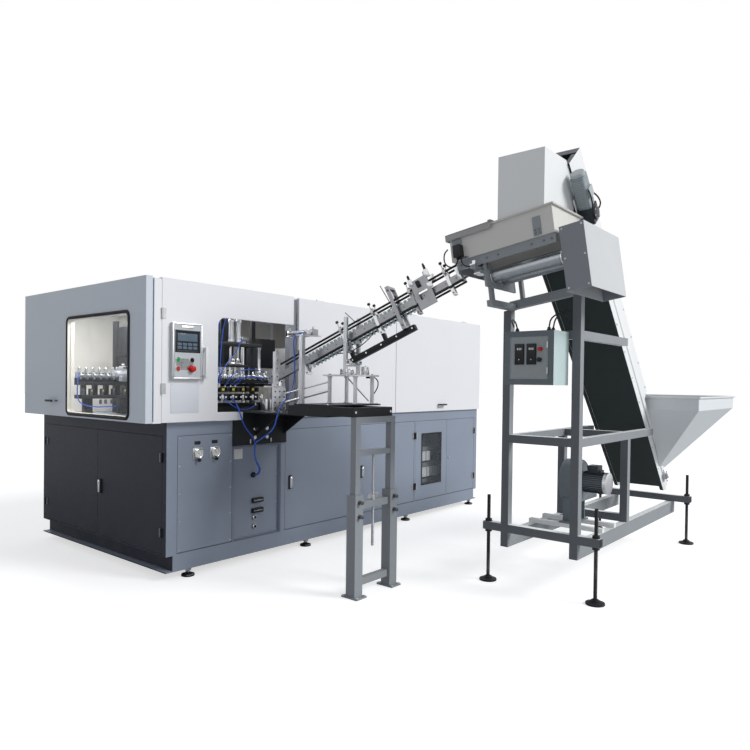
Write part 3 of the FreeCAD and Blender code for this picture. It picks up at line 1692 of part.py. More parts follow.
def pulleys():
    """The head and tail pulleys with their shafts."""
    side, wide = size.elevator_side, size.elevator_width
    for name, at in (("head_pulley", PULLEY_AT[0]), ("tail_pulley", PULLEY_AT[1])):
        drum = bar(at, side + 4, AXIS_Z, size.pulley_radius, wide - 2 * side - 8, "y", 24)
        shaft = rod(at, -36, AXIS_Z, size.shaft_radius, wide + 72, "y")
        elevator_node(name, joined(drum, shaft))


def funnel(offset, base_left, base_far, base_length, base_width, depth):
    """A four-sided taper that opens upwards from a small base to the hopper's rim."""
    wedge = doc.addObject("Part::Wedge", "Funnel")
    middle = NEAR + size.feeder_width / 2 + size.elevator_side_gap
    far_top = middle + size.hopper_far - offset
    bind(wedge, "Xmin", base_left + offset)
    bind(wedge, "Xmax", base_left + base_length - offset)
    bind(wedge, "X2min", size.hopper_left + offset)
    bind(wedge, "X2max", size.hopper_left + size.hopper_length - offset)
    bind(wedge, "Zmin", -(middle + base_far - offset))
    bind(wedge, "Zmax", -(middle - base_width + base_far + offset))
    bind(wedge, "Z2min", -far_top)
    bind(wedge, "Z2max", -(far_top - size.hopper_width + 2 * offset))
    bind(wedge, "Ymin", offset)
    bind(wedge, "Ymax", depth)
    wedge.Placement = Placement(Vector(), Rotation(Vector(1, 0, 0), 90))
    return put(wedge, 0, 0, size.hopper_bottom)


def hopper():
    """The floor hopper: a tapered sheet funnel with a straight band, open to the belt."""
    sheet, band = size.hopper_sheet, size.hopper_band
    band_low = size.hopper_rim_height - band
    depth = band_low - size.hopper_bottom
    base_far = size.hopper_far - 13
    base = (size.hopper_left + 350, base_far, 200, base_far + 200)
    outer = funnel(0, *base, depth)
    inner = funnel(sheet, *base, depth)
    middle = NEAR + size.feeder_width / 2 + size.elevator_side_gap
    y0 = middle + size.hopper_far - size.hopper_width
    lip = 14
    collar = joined(
        block(size.hopper_left, y0, band_low, size.hopper_length, size.hopper_width, band),
        block(size.hopper_left - lip, y0 - lip, size.hopper_rim_height - 3,
              size.hopper_length + 2 * lip, size.hopper_width + 2 * lip, 3),
    )
    hole = block(size.hopper_left + sheet, y0 + sheet, band_low - 1,
                 size.hopper_length - 2 * sheet, size.hopper_width - 2 * sheet, band + 2)
    shell = joined(without(outer, inner), without(collar, hole))
    belt_room = elevator_space(BODY_TOP + size.cleat_height + 8, -4, size.elevator_side)
    node("hopper", without(shell, elevator_space(BODY_TOP + size.seat_gap, size.seat_gap),
                           belt_room))


def chute_hood():
    """The hood that leads preforms from the elevator's head down into the trough."""
    sheet = size.trough_sheet
    long, wide = size.trough_width, size.chute_width
    y = size.trough_y - 642
    low = size.trough_bottom + 150
    tall = size.chute_top - low
    shell = without(
        block(size.trough_x, y, low, long, wide, tall),
        block(size.trough_x + sheet, y + sheet, low - 1, long - 2 * sheet, wide - 2 * sheet,
              tall - sheet + 1),
    )
    below = block(-60, -size.trough_length - 60, -200, size.trough_width + 120,
                  size.trough_length + 120, size.trough_depth + sheet + 200)
    slope = compound([turned_group([below], Vector(-1, 0, 0), size.trough_tilt)])
    put(slope, size.trough_x, size.trough_y, size.trough_bottom)
    elevator = elevator_space(HALF + size.seat_gap, size.seat_gap, below=size.seat_gap)
    node("chute_hood", without(shell, slope, elevator))


# ---------------------------------------------------------------- blower and control box


def blower():
    """Volute with a round inlet and a straight outlet, its motor, feet and cross bars."""
    x, z, r = size.blower_x, 685, size.blower_radius
    y = -2055
    deep = size.blower_depth
    wall = 6
    volute = without(
        joined(rod(x, y, z, r, deep, "y"), block(x, y, z - r, 290, deep, 100)),
        rod(x, y + wall, z, r - wall, deep - 2 * wall, "y"),
        block(x, y + wall, z - r + wall, 295, deep - 2 * wall, 100 - 2 * wall),
        rod(x, y + deep - wall - 1, z, 60, wall + 2, "y"),
        bar(x, y - 1, z, 8 + 0.6, wall + 2, "y"),
    )
    motor = without(
        joined(
            bar(x, y - 200, z, size.blower_motor_radius, 200, "y", 24),
            block(x - 30, y - 150, z + 40, 60, 80, 50),
        ),
        bar(x, y - 30, z, 8 + 0.6, 31, "y"),
    )
    bars = [block(x + dx, NEAR, RAIL_TOP, 40, size.feeder_width, 30) for dx in (-130, 90)]
    pedestal = joined(
        block(x - 130, y, RAIL_TOP + 30, 260, deep, 12),
        block(x - 90, y + 10, RAIL_TOP + 30, 12, deep - 20, 190),
        block(x + 78, y + 10, RAIL_TOP + 30, 12, deep - 20, 190),
    )
    room = rod(x, y - 1, z, r + size.seat_gap, deep + 2, "y")
    duct_room = block(x, y - 1, z - r - size.seat_gap, 290, deep + 2, 100)
    node("blower", volute, motor, *bars, without(pedestal, room, duct_room))
    hub = joined(
        bar(x, y + 16, z, 30, 78, "y"),
        bar(x, y + 12, z, 112, 4, "y", 24),
        bar(x, y - 25, z, 8, 50, "y"),
    )
    body = doc.addObject("PartDesign::Body", "Vanes")
    sketch = new_sketch(body, "XZ_Plane", [(60, -2), (112, -2), (112, 2), (60, 2)])
    pad = body.newObject("PartDesign::Pad", "Pad")
    pad.Profile = sketch
    bind(pad, "Length", 70)
    pad.Reversed = True
    fan = body.newObject("PartDesign::PolarPattern", "Fan")
    fan.Originals = [pad]
    fan.Axis = (sketch, ["N_Axis"])
    fan.Angle = 360
    fan.Occurrences = 10
    body.Tip = fan
    put(body, x, y + 15, z)
    node("blower_impeller", joined(hub, body))


def feeder_box():
    """The control box on the feeder's cross beam: a shell with a window and an inset door."""
    deep, wide, tall = (
        size.control_box_depth,
        size.control_box_width,
        size.control_box_height,
    )
    x = size.feeder_x - deep
    y = NEAR + 80
    z = size.box_beam_height - 10 - tall
    border, front = 35, 18
    window = (y + border + 5, z + border, wide - 2 * border - 10, tall - 2 * border)
    shell = without(
        block(x, y, z, deep, wide, tall),
        block(x + front, y + 3, z + 3, deep - front - 3, wide - 6, tall - 6),
        block(x - 1, window[0], window[1], front + 2, window[2], window[3]),
    )
    node("feeder_box", shell)
    gap = 0.8
    low_y, low_z = window[0] + gap, window[1] + gap
    door_wide, door_tall = window[2] - 2 * gap, window[3] - 2 * gap
    button_y, button_z = low_y + 50, low_z + door_tall - 80
    knob_y, knob_z = low_y + 54, low_z + door_tall - 146
    slab = without(
        block(x + 6, low_y, low_z, 10, door_wide, door_tall),
        bar(x + 5, button_y, button_z, 12.6, 12, "x", 24),
        bar(x + 5, knob_y, knob_z, 5.5, 12, "x"),
    )
    meters = [
        block(x, low_y + shift, low_z + door_tall - 176, 6, 65, 131) for shift in (79, 162)
    ]
    pin = 5
    hinges = [
        joined(
            bar(x - pin - size.seat_gap, low_y - 0.4, hinge_z, pin, 40, sides=8),
            block(x - pin - size.seat_gap, low_y + 0.2, hinge_z, pin + 6 + size.seat_gap, 6, 40),
        )
        for hinge_z in (low_z + 34, low_z + door_tall - 74)
    ]
    node("feeder_box_door", slab, *meters, *hinges)
    node("box_button", bar(x - 6, button_y, button_z, 12, 18, "x", 24))
    node("box_knob", joined(bar(x - 10, knob_y, knob_z, 14, 14, "x", 24),
                            bar(x - 10, knob_y, knob_z, 5, 22, "x")))


# ---------------------------------------------------------------- hoses and cable

SUPPLY_ROUTE = (
    (575, 60, 1252),
    (570, 8, 1216),
    (560, -48, 1172),
    (562, -72, 1108),
    (585, -80, 1045),
    (628, -84, 990),
    (676, -78, 946),
    (702, -70, 896),
    (698, -62, 840),
    (706, -66, 786),
    (730, -70, 742),
    (752, -67, 708),
    (759, -48, 675),
    (760.5, -13, 655),
    (760.5, 27, 655),
)
INFEED_ROUTE = (
    (950, -300, 1742),
    (915, -300, 1742),
    (884.7, -300, 1724.5),
    (867, -300, 1694),
    (863, -301, 1640),
    (869, -305, 1560),
    (861, -317, 1470),
    (846, -330, 1388),
    (795, -362, 1310),
    (710, -405, 1250),
    (618, -440, 1200),
    (574, -452, 1122),
    (572, -430, 1045),
    (574, -345, 990),
    (590, -250, 950),
    (622, -165, 922),
    (662, -105, 890),
    (684, -78, 838),
    (692, -80, 784),
    (716, -80, 740),
    (740, -72, 708),
    (748, -50, 675),
    (749.5, -13, 655),
    (749.5, 27, 655),
)
CABLE_ROUTE = (
    (1160, -805, 1415),
    (1160, -830, 1415),
    (1160.5, -858, 1405),
    (1160, -880, 1380),
    (1158, -880, 1342),
    (1155, -856, 1304),
    (1152, -832, 1276),
    (1150, -818, 1248),
    (1150, -818, 1220),
)


def rounded_path(points):
    """Straight runs joined by tangent arcs, each as large as its two runs allow."""
    places = [Vector(*point) for point in points]
    edges, radii = [], []
    start = places[0]
    for before, corner, after in zip(places, places[1:], places[2:]):
        into, out = (corner - before).normalize(), (after - corner).normalize()
        half_turn = into.getAngle(out) / 2
        setback = 0.45 * min(before.distanceToPoint(corner), corner.distanceToPoint(after))
        radii.append(setback / math.tan(half_turn))
        first, last = corner - into * setback, corner + out * setback
        bulge = (into * -1 + out).normalize()
        middle = corner + bulge * radii[-1] * (1 / math.cos(half_turn) - 1)
        edges.append(Part.LineSegment(start, first).toShape())
        edges.append(Part.Arc(first, middle, last).toShape())
        start = last
    edges.append(Part.LineSegment(start, places[-1]).toShape())
    return Part.Wire(edges), radii


CORD_SIDES = 6


def cord(name, route, radius):
    """A round hose or cable swept along a route of runs and arcs."""
    path, radii = rounded_path(route)
    start = Vector(*route[0])
    heading = Vector(*route[1]) - start
    across = heading.cross(Vector(0, 0, 1) if abs(heading.z) < abs(heading.x) + abs(heading.y)
                           else Vector(1, 0, 0)).normalize() * radius.value
    spin = Rotation(heading, 360 / CORD_SIDES)
    corners = [start + across]
    for _ in range(CORD_SIDES):
        across = spin.multVec(across)
        corners.append(start + across)
    section = Part.makePolygon(corners)
    tube = path.makePipeShell([section], True, False)
    expected = Part.Face(section).Area * path.Length
    if abs(tube.Volume - expected) > expected / 100:
        raise RuntimeError(f"{name}: volume {tube.Volume:.0f} instead of {expected:.0f}")
    print(name, f"length {path.Length:.0f}", "radii", [round(value) for value in radii])
    piece = doc.addObject("Part::Feature", "Tube")
    piece.Shape = tube
    node(name, piece)


def cords():
    cord("supply_hose", SUPPLY_ROUTE, size.hose_radius)
    cord("infeed_hose", INFEED_ROUTE, size.hose_radius)
    cord("sensor_cable", CABLE_ROUTE, size.cable_radius)


# ---------------------------------------------------------------- build and write

plinth()
cabinet_frame()
cabinet_panels()
front_fittings()
front_doors()
end_doors()
switchgear()
hood_shell()
end_flap()
control_door()
operator_panel()
operator_buttons()
hood_flaps()
clamp_frame()
platen("platen_front", -1)
platen("platen_rear", 1)
stretch_head()
gripper_beam()
heating_line()
infeed_bridge()
infeed_table()
infeed_rail()
preforms()
stand()
feeder_frame()
feeder_feet()
trough()
rollers()
gear_housing()
chute_hood()
elevator_frame()
elevator_belt()
pulleys()
hopper()
blower()
feeder_box()
cords()

doc.recompute()

failed = [o.Label for o in doc.Objects if "Invalid" in o.State or "Error" in o.State]
if failed:
    raise RuntimeError(f"objects that failed: {failed}")
for name, group in NODES.items():
    if group.Shape.isNull() or not group.Shape.isValid():
        raise RuntimeError(f"{name} has no valid shape")

os.makedirs("parts", exist_ok=True)
for name, group in NODES.items():
    group.Shape.exportStep(f"parts/{name}.step")
print(len(NODES), "nodes")
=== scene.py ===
# %% [markdown]
# # A bottle blow moulding machine and its preform feeder
#
# The real line has three units: a long cabinet with a light hood, where preforms are heated and
# blown into bottles; a slanted rail on a stand, down which the preforms hang and slide; and a tall
# feeder, whose cleated belt lifts them out of a floor hopper. The CAD model holds every plate,
# tube and door at its true size. This file gives those parts their finishes and adds what is too
# small or too round for CAD: bolts, dials, threads, buttons, preforms, hoses and grippers.

# %% Load the frame
import itertools
import math
from functools import partial

import bmesh
import bpy
import numpy as np
from mathutils import Matrix


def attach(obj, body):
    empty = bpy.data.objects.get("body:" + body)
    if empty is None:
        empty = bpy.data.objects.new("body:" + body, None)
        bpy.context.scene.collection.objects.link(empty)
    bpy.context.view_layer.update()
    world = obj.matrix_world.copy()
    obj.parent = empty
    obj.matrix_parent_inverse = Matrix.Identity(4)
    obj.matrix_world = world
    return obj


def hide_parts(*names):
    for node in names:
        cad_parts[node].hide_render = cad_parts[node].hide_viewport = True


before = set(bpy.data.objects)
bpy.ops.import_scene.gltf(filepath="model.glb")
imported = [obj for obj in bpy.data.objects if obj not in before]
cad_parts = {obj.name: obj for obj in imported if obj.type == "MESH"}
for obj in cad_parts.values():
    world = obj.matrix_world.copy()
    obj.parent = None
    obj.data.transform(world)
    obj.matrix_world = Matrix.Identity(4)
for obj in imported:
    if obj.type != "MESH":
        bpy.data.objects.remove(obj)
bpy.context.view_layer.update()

# %% [markdown]
# ## From drawing sizes to the scene
#
# Every size below is written as on a workshop drawing: millimetres from the cabinet's front left
# corner on the floor. Blender works in metres from the front left levelling foot, so one helper
# turns drawing points into scene points. Three groups stand at a slant, the preform rail, the
# trough and the elevator, and each gets a matrix, so that its details can be placed along it.

# %% Drawing points and slanted groups
FOOT = (200.0, 40.0, 0.0)


def metres(points):
    """Scene metres of drawing millimetres: the foot's place taken away, over a thousand."""
    return (np.asarray(points, float) - FOOT) / 1000


def slant(base, *turns):
    """A matrix that turns about each axis in order, then moves to a base point."""
    matrix = Matrix.Identity(4)
    for axis, degrees in turns:
        matrix = Matrix.Rotation(math.radians(degrees), 4, axis) @ matrix
    return Matrix.Translation(base) @ matrix


RAIL = slant((860, -50, 1370), ("X", -25.5), ("Z", 15))
TROUGH = slant((1105, -1545, 2160), ("X", -8.5))
ELEVATOR = slant((1500, -2200, 2830), ("Y", 47.8))
LEVEL = Matrix.Identity(4)
print("rail, trough and elevator frames ready")

# %% [markdown]
# ## The camera
#
# The photograph is taken from the left and a little below the hood's top edge, with a moderately
# wide lens. The picture was cropped a little off centre, which a small lens shift repeats, so that
# upright edges stay as upright as they are in the photograph.

# %% Camera
YAW, PITCH, ROLL = 0.8857527, -0.0135610, -0.0124967
FOCAL_PX, CENTRE_PX, IMAGE_PX = 645.124, (387.942, 392.192), 750
EYE = (-2.62159, -3.93895, 1.36804)
forward = np.array([math.sin(YAW) * math.cos(PITCH), math.cos(YAW) * math.cos(PITCH),
                    math.sin(PITCH)])
level_right = np.array([math.cos(YAW), -math.sin(YAW), 0.0])
down = np.cross(forward, level_right)
right = math.cos(ROLL) * level_right + math.sin(ROLL) * down
low = -math.sin(ROLL) * level_right + math.cos(ROLL) * down
lens = bpy.data.cameras.new("camera")
lens.sensor_width = 36
lens.lens = FOCAL_PX / IMAGE_PX * lens.sensor_width
lens.shift_x = (IMAGE_PX / 2 - CENTRE_PX[0]) / IMAGE_PX
lens.shift_y = (CENTRE_PX[1] - IMAGE_PX / 2) / IMAGE_PX
lens.clip_end = 100
camera = bpy.data.objects.new("camera", lens)
bpy.context.scene.collection.objects.link(camera)
camera.matrix_world = Matrix((*np.column_stack([right, -low, -forward, EYE]).tolist(),
                              (0, 0, 0, 1)))
bpy.context.scene.camera = camera
print("lens", round(lens.lens, 2), "mm, shift", round(lens.shift_x, 4), round(lens.shift_y, 4))

# %% [markdown]
# ## Hoses and the sensor cable
#
# Two blue air hoses and one thin cable are the only limp things on the machine. A hose is stiff
# enough to make one smooth curve between its fittings, so each is a NURBS curve with a round
# bevel: its control points are where the hose is drawn towards, and the curve rounds them off.
# The hoses leave the hood and the stop cylinder, meet over the black bracket, and run down as a
# pair to the grommet in the recessed panel.

# %% Routes of the hoses and the cable
SUPPLY_POINTS = (
    (575, 60, 1252), (570, 8, 1216), (560, -48, 1172), (562, -72, 1108), (585, -80, 1045),
    (628, -84, 990), (676, -78, 946), (702, -70, 896), (698, -62, 840), (706, -66, 786),
    (730, -70, 742), (752, -67, 708), (759, -48, 675), (760.5, -13, 655), (760.5, 27, 655),
)
INFEED_POINTS = (
    (950, -300, 1742), (915, -300, 1742), (884.7, -300, 1724.5), (867, -300, 1694),
    (863, -301, 1640), (869, -305, 1560), (861, -317, 1470), (846, -330, 1388),
    (795, -362, 1310), (710, -405, 1250), (618, -440, 1200), (574, -452, 1122),
    (572, -430, 1045), (574, -345, 990), (590, -250, 950), (622, -165, 922),
    (662, -105, 890), (684, -78, 838), (692, -80, 784), (716, -80, 740), (740, -72, 708),
    (748, -50, 675), (749.5, -13, 655), (749.5, 27, 655),
)
CABLE_POINTS = (
    (1160, -805, 1415), (1160, -830, 1415), (1160.5, -858, 1405), (1160, -880, 1380),
    (1158, -880, 1342), (1155, -856, 1304), (1152, -832, 1276), (1150, -818, 1248),
    (1150, -818, 1220),
)
print("route points:", len(SUPPLY_POINTS), len(INFEED_POINTS), len(CABLE_POINTS))


# %% Cords along their routes
def free_cord(name, points, diameter, length, node):
    """A round cord along a NURBS line through the pull of its points; its CAD node is hidden."""
    curve = bpy.data.curves.new(name, "CURVE")
    curve.dimensions = "3D"
    curve.bevel_depth = 1.0
    curve.bevel_resolution = 4
    curve.resolution_u = curve.render_resolution_u = 8
    curve.use_fill_caps = True
    spline = curve.splines.new("NURBS")
    spline.points.add(len(points) - 1)
    places = np.column_stack([metres(points), np.ones(len(points))])
    spline.points.foreach_set("co", places.ravel())
    spline.points.foreach_set("radius", np.full(len(points), diameter / 2000))
    spline.order_u = 3
    spline.use_endpoint_u = True
    cord = bpy.data.objects.new(name, curve)
    bpy.context.scene.collection.objects.link(cord)
    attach(cord, "machine")
    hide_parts(node)
    print(name, length, "m long,", diameter, "mm thick")
    return cord


supply_line = free_cord("supply_air_hose", SUPPLY_POINTS, 10, 0.77, "supply_hose")
infeed_line = free_cord("infeed_air_hose", INFEED_POINTS, 10, 1.58, "infeed_hose")
sensor_line = free_cord("sensor_lead", CABLE_POINTS, 8, 0.262, "sensor_cable")

# %% [markdown]
# ## Writing finishes as sums
#
# Most surfaces here are powder coat. On the real cabinet it has a faint orange peel, a tone that
# drifts over a metre of sheet, and dust where it nears the floor. Such finishes are sums of noise
# patterns. A small class wraps a shader socket, so that a sum can be typed as a sum, and one
# method makes every other node from its type, its settings and its inputs.

# %% A socket that can be added and multiplied
class Wire:
    """The output of a shader node, ready for sums: each operator adds one Math node."""

    def __init__(self, tree, socket):
        self.tree, self.socket = tree, socket

    def make(self, kind, settings=(), inputs=(), output=0):
        """A new node of a kind, with its settings and inputs, as the wire of one output."""
        new = self.tree.nodes.new(kind)
        for key, value in dict(settings).items():
            setattr(new, key, value)
        for key, value in dict(inputs).items():
            if isinstance(value, Wire):
                self.tree.links.new(value.socket, new.inputs[key])
            else:
                new.inputs[key].default_value = value
        return Wire(self.tree, new.outputs[output])

    def sum_of(self, operation, first, second):
        """One Math node of two numbers or wires."""
        return self.make("ShaderNodeMath", {"operation": operation}, {0: first, 1: second})

    def __add__(self, other):
        return self.sum_of("ADD", self, other)

    def __sub__(self, other):
        return self.sum_of("SUBTRACT", self, other)

    def __rsub__(self, other):
        return self.sum_of("SUBTRACT", other, self)

    def __mul__(self, other):
        return self.sum_of("MULTIPLY", self, other)

    __radd__, __rmul__ = __add__, __mul__

    def rise(self, low, high):
        """Nought below one value and one above another, smooth between them."""
        ends = {0: self, "From Min": low, "From Max": high}
        return self.make("ShaderNodeMapRange", {"interpolation_type": "SMOOTHSTEP"}, ends)


print("sums of sockets ready")

# %% Colours as they are read off
def tone(red, green, blue):
    """A colour read off in 0 to 255, made linear: the usual screen curve undone."""
    share = np.array([red, green, blue]) / 255
    return tuple(np.where(share <= 0.04045, share / 12.92, ((share + 0.055) / 1.055) ** 2.4))


def scaled(colour, amount):
    """A colour made lighter or darker, each part times the same number."""
    return tuple(float(min(part * amount, 1)) for part in colour)


print("a mid grey of 128 is", round(float(tone(128, 128, 128)[0]), 3), "when made linear")


# %% The patterns that every finish draws on
class Finish:
    """A new material with its shader, its object coordinates and its patterns."""

    def __init__(self, name, **constants):
        self.material = bpy.data.materials.new(name)
        self.material.use_nodes = True
        tree = self.material.node_tree
        self.shader = tree.nodes["Principled BSDF"]
        for key, value in constants.items():
            self.shader.inputs[key.replace("_", " ")].default_value = value
        place = tree.nodes.new("ShaderNodeTexCoord").outputs["Object"]
        self.place = Wire(tree, place)

    def noise(self, scale, detail=2.0, stretch=None):
        """Soft random values about a half, with about scale lumps a metre."""
        place = self.place
        if stretch:
            place = place.make("ShaderNodeMapping", {}, {"Vector": place, "Scale": stretch})
        wanted = {"Vector": place, "Scale": scale, "Detail": detail}
        return place.make("ShaderNodeTexNoise", {}, wanted)

    def height(self):
        """Height over the floor, in metres."""
        return self.place.make("ShaderNodeSeparateXYZ", {}, {0: self.place}, "Z")

    def blend(self, share, first, second):
        """The first colour, or the second one where the share is one."""
        pad = [part if isinstance(part, Wire) else (*part, 1) for part in (first, second)]
        wanted = {0: share, 6: pad[0], 7: pad[1]}
        return self.place.make("ShaderNodeMix", {"data_type": "RGBA"}, wanted, 2)

    def bump(self, height, depth):
        """A Bump node's normal, from a height of nought to one and its depth in metres."""
        wanted = {"Height": height, "Distance": depth, "Strength": 1.0}
        return self.place.make("ShaderNodeBump", {}, wanted)

    def set(self, **wires):
        """Links or sets the shader's sockets by name, and hands back the material."""
        for key, value in wires.items():
            socket = self.shader.inputs[key.replace("_", " ")]
            if isinstance(value, Wire):
                value.tree.links.new(value.socket, socket)
            else:
                socket.default_value = value
        return self.material


print("finishes can draw on noise, height, blend and bump")

# %% [markdown]
# ## Powder coat, steel, rubber and plastic
#
# Each finish is one function of its colour. Powder coat has orange peel about two millimetres
# wide and gathers dust near the floor. Bare steel is drawn out in one direction, so its noise is
# stretched along that axis. Rubber and moulded plastic are dull, with a fine grain.

# %% Powder coat, metal and plastic
DUST = tone(150, 146, 138)
DUST_LOW, DUST_HIGH = 0.02, 0.5  # metres over the floor: full dust below, none above
PEEL, PEEL_DEPTH = 420, 0.00012  # lumps a metre, and their depth in metres
LINE_DEPTH = 0.00006  # metres


def paint(name, colour, roughness=0.42, dust=0.35, drift=0.05):
    """Powder coat: colour times 1 +- drift, with dust that thins out 0.5 m over the floor."""
    coat = Finish(name, Specular_IOR_Level=0.22)
    cloud = coat.noise(1.7, 4)
    lumps = coat.noise(38, 3)
    peel = coat.noise(PEEL, 1)
    base = coat.blend(cloud, scaled(colour, 1 - 2 * drift), scaled(colour, 1 + 2 * drift))
    clean = coat.height().rise(DUST_LOW, DUST_HIGH)
    low = (1 - clean) * coat.noise(9, 5).rise(0.42, 0.7) * dust
    base = coat.blend(low, base, DUST)
    rough = roughness + (lumps - 0.5) * 0.16 + low * 0.3
    return coat.set(Base_Color=base, Roughness=rough, Normal=coat.bump(peel, PEEL_DEPTH))


def metal(name, colour, roughness, stretch):
    """Drawn or brushed metal: noise stretched along one axis marks its tone and its gloss."""
    coat = Finish(name, Metallic=1.0)
    lines = coat.noise(3, 3, stretch)
    stain = coat.noise(14, 4)
    base = coat.blend(lines, scaled(colour, 0.82), scaled(colour, 1.1))
    base = coat.blend(stain.rise(0.5, 0.78) * 0.35, base, scaled(colour, 0.55))
    rough = roughness + (lines - 0.5) * 0.22 + (stain - 0.5) * 0.2
    return coat.set(Base_Color=base, Roughness=rough, Normal=coat.bump(lines, LINE_DEPTH))


def plastic(name, colour, roughness=0.45, grain=900.0, depth=0.00005):
    """Moulded plastic or rubber: a fine grain, and a tone that wanders a little."""
    coat = Finish(name, Specular_IOR_Level=0.28)
    cloud = coat.noise(11, 3)
    pores = coat.noise(grain, 1)
    base = coat.blend(cloud, scaled(colour, 0.86), scaled(colour, 1.14))
    rough = roughness + (cloud - 0.5) * 0.2
    return coat.set(Base_Color=base, Roughness=rough, Normal=coat.bump(pores, depth))


print("three kinds of finish ready; dust is", [round(float(part), 3) for part in DUST])

# %% The line's own coats
slate = paint("slate_powder_coat", tone(139, 148, 163), 0.4, dust=0.08)
# The next coat is painted shade: a dark copy of the slate coat for the cabinet's faces that turn
# left, away from the key lamp, and for its end doors.
slate_painted_shade = paint("slate_powder_coat_painted_shade", tone(43, 46, 57), 0.42, dust=0.05)
pale = paint("pale_powder_coat", tone(228, 229, 232), 0.38, drift=0.012)
# The next coat is painted shade: a darker, bluer copy of the pale coat for the hood's faces that
# turn left, away from the key lamp, and for its end flap.
pale_painted_shade = paint("pale_powder_coat_painted_shade", tone(203, 210, 219), 0.4, drift=0.015)
post_grey = paint("grey_post_coat", tone(128, 131, 138), 0.42)
black_coat = paint("black_coat", tone(38, 39, 42), 0.45, drift=0.1)
feeder_pale = paint("feeder_pale_coat", tone(236, 238, 238), 0.4, drift=0.012)
feeder_grey = paint("feeder_grey_coat", tone(150, 155, 160), 0.45)
# The next coat is painted shade: a dark copy of the feeder's pale coat for its faces that turn
# left, away from the key lamp.
feeder_painted_shade = paint("feeder_painted_shade_coat", tone(104, 108, 113), 0.45)
motor_coat = paint("motor_coat", tone(140, 150, 155), 0.35)
motor_dark = paint("dark_machine_coat", tone(52, 56, 62), 0.35, drift=0.1)
bright_steel = metal("bright_steel", (0.74, 0.75, 0.76), 0.18, (260, 260, 6))
zinc = metal("zinc_plate", (0.55, 0.56, 0.57), 0.42, (12, 12, 12))
aluminium = metal("satin_aluminium", (0.70, 0.71, 0.73), 0.36, (8, 200, 200))
black_rubber = plastic("black_rubber", tone(22, 23, 27), 0.6)
black_plastic = plastic("black_plastic", tone(34, 35, 38), 0.42)
belt_green = plastic("belt_cover", tone(22, 30, 29), 0.75, 500, 0.0002)
hose_blue = plastic("blue_tube", tone(58, 96, 196), 0.28)
red_plastic = plastic("red_plastic", tone(196, 38, 34), 0.3)
green_plastic = plastic("green_plastic", tone(36, 150, 82), 0.3)
ivory_plastic = plastic("ivory_plastic", tone(222, 222, 216), 0.4)
print("finishes:", len(bpy.data.materials))

# %% [markdown]
# ## Clear panes and preforms
#
# The windows are thin clear sheets. What shows is the gloss at a low angle, which the Fresnel law
# gives; here it is a painted sheen, so the sheet is nearly transparent face on and turns whiter
# towards its edge. Preforms are thick clear tubes with a milky look, from the many curved walls
# behind one another, painted as a pale cover.

# %% Clear sheets
def clear_sheet(name, colour, least, most, roughness=0.06):
    """A see-through sheet whose cover rises from least, face on, to most at its edge: a painted
    sheen.
    """
    coat = Finish(name, Base_Color=(*colour, 1), Roughness=roughness, IOR=1.45)
    # The cover that rises with the Facing weight is the painted sheen.
    edge = coat.place.make("ShaderNodeLayerWeight", {}, {"Blend": 0.35}, "Facing")
    smear = coat.noise(5, 4).rise(0.45, 0.8) * 0.04
    return coat.set(Alpha=least + (most - least) * edge + smear)


pane_grey = clear_sheet("tinted_pane", tone(120, 128, 136), 0.05, 0.3)
preform_clear = clear_sheet("milky_preform", tone(205, 222, 222), 0.42, 0.95, 0.16)
print("clear sheets ready")

# %% [markdown]
# ## Finishes on the CAD parts
#
# A CAD part is one welded or bought piece, yet it may carry more than one finish: the window's
# rubber seal, or bare columns on a painted plate. The mesh of a part stays as it is. Only the
# material index of its triangles is set, chosen by the box that they lie in and by the side that
# they face. The side they face also carries painted shade: the faces that turn left, away from the
# key lamp, get a darker copy of their coat on the cabinet, the hood's end, the stand, the gear
# housing, the control box and the feeder, and the feeder's tubes get a lighter painted shade on
# their near side than on the left, as photographed.

# %% Finishing a node by region
def finish_node(node, coat, *regions, group=LEVEL):
    """Coats a node; each region is (coat, lowest corner, highest corner, way it faces)."""
    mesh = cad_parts[node].data
    mesh.materials.clear()
    count = len(mesh.vertices)
    co = np.empty(count * 3)
    mesh.vertices.foreach_get("co", co)
    back = np.array(group.inverted())
    mm = (co.reshape(-1, 3) * 1000 + FOOT) @ back[:3, :3].T + back[:3, 3]
    loops = np.empty(len(mesh.loops), int)
    mesh.loops.foreach_get("vertex_index", loops)
    corners = mm[loops.reshape(-1, 3)]
    normal = np.cross(corners[:, 1] - corners[:, 0], corners[:, 2] - corners[:, 0])
    normal /= np.maximum(np.linalg.norm(normal, axis=1, keepdims=True), 1e-9)
    index = np.zeros(len(corners), int)
    coats = [coat]
    for new, lowest, highest, *facing in regions:
        if new not in coats:
            coats.append(new)
        inside = ((corners > np.array(lowest, float) - 0.7)
                  & (corners < np.array(highest, float) + 0.7)).all((1, 2))
        if facing:
            inside &= normal @ np.array(facing[0], float) > 0.9
        index[inside] = coats.index(new)
    for each in coats:
        mesh.materials.append(each)
    mesh.polygons.foreach_set("material_index", index)
    mesh.update()


print("nodes to coat:", len(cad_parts))

# %% Cabinet, doors and switchgear
FAR = 9000
ALL = ((-FAR, -FAR, -FAR), (FAR, FAR, FAR))
TO_LEFT, TO_NEAR = (-1, 0, 0), (0, -1, 0)
END_LOCK = ((-6, -FAR, 506), (-1, FAR, 620))
HINGES = ((-FAR, -16, -FAR), (FAR, -0.8, FAR))
END_HINGES = ((-16, -FAR, -FAR), (-0.8, FAR, FAR))

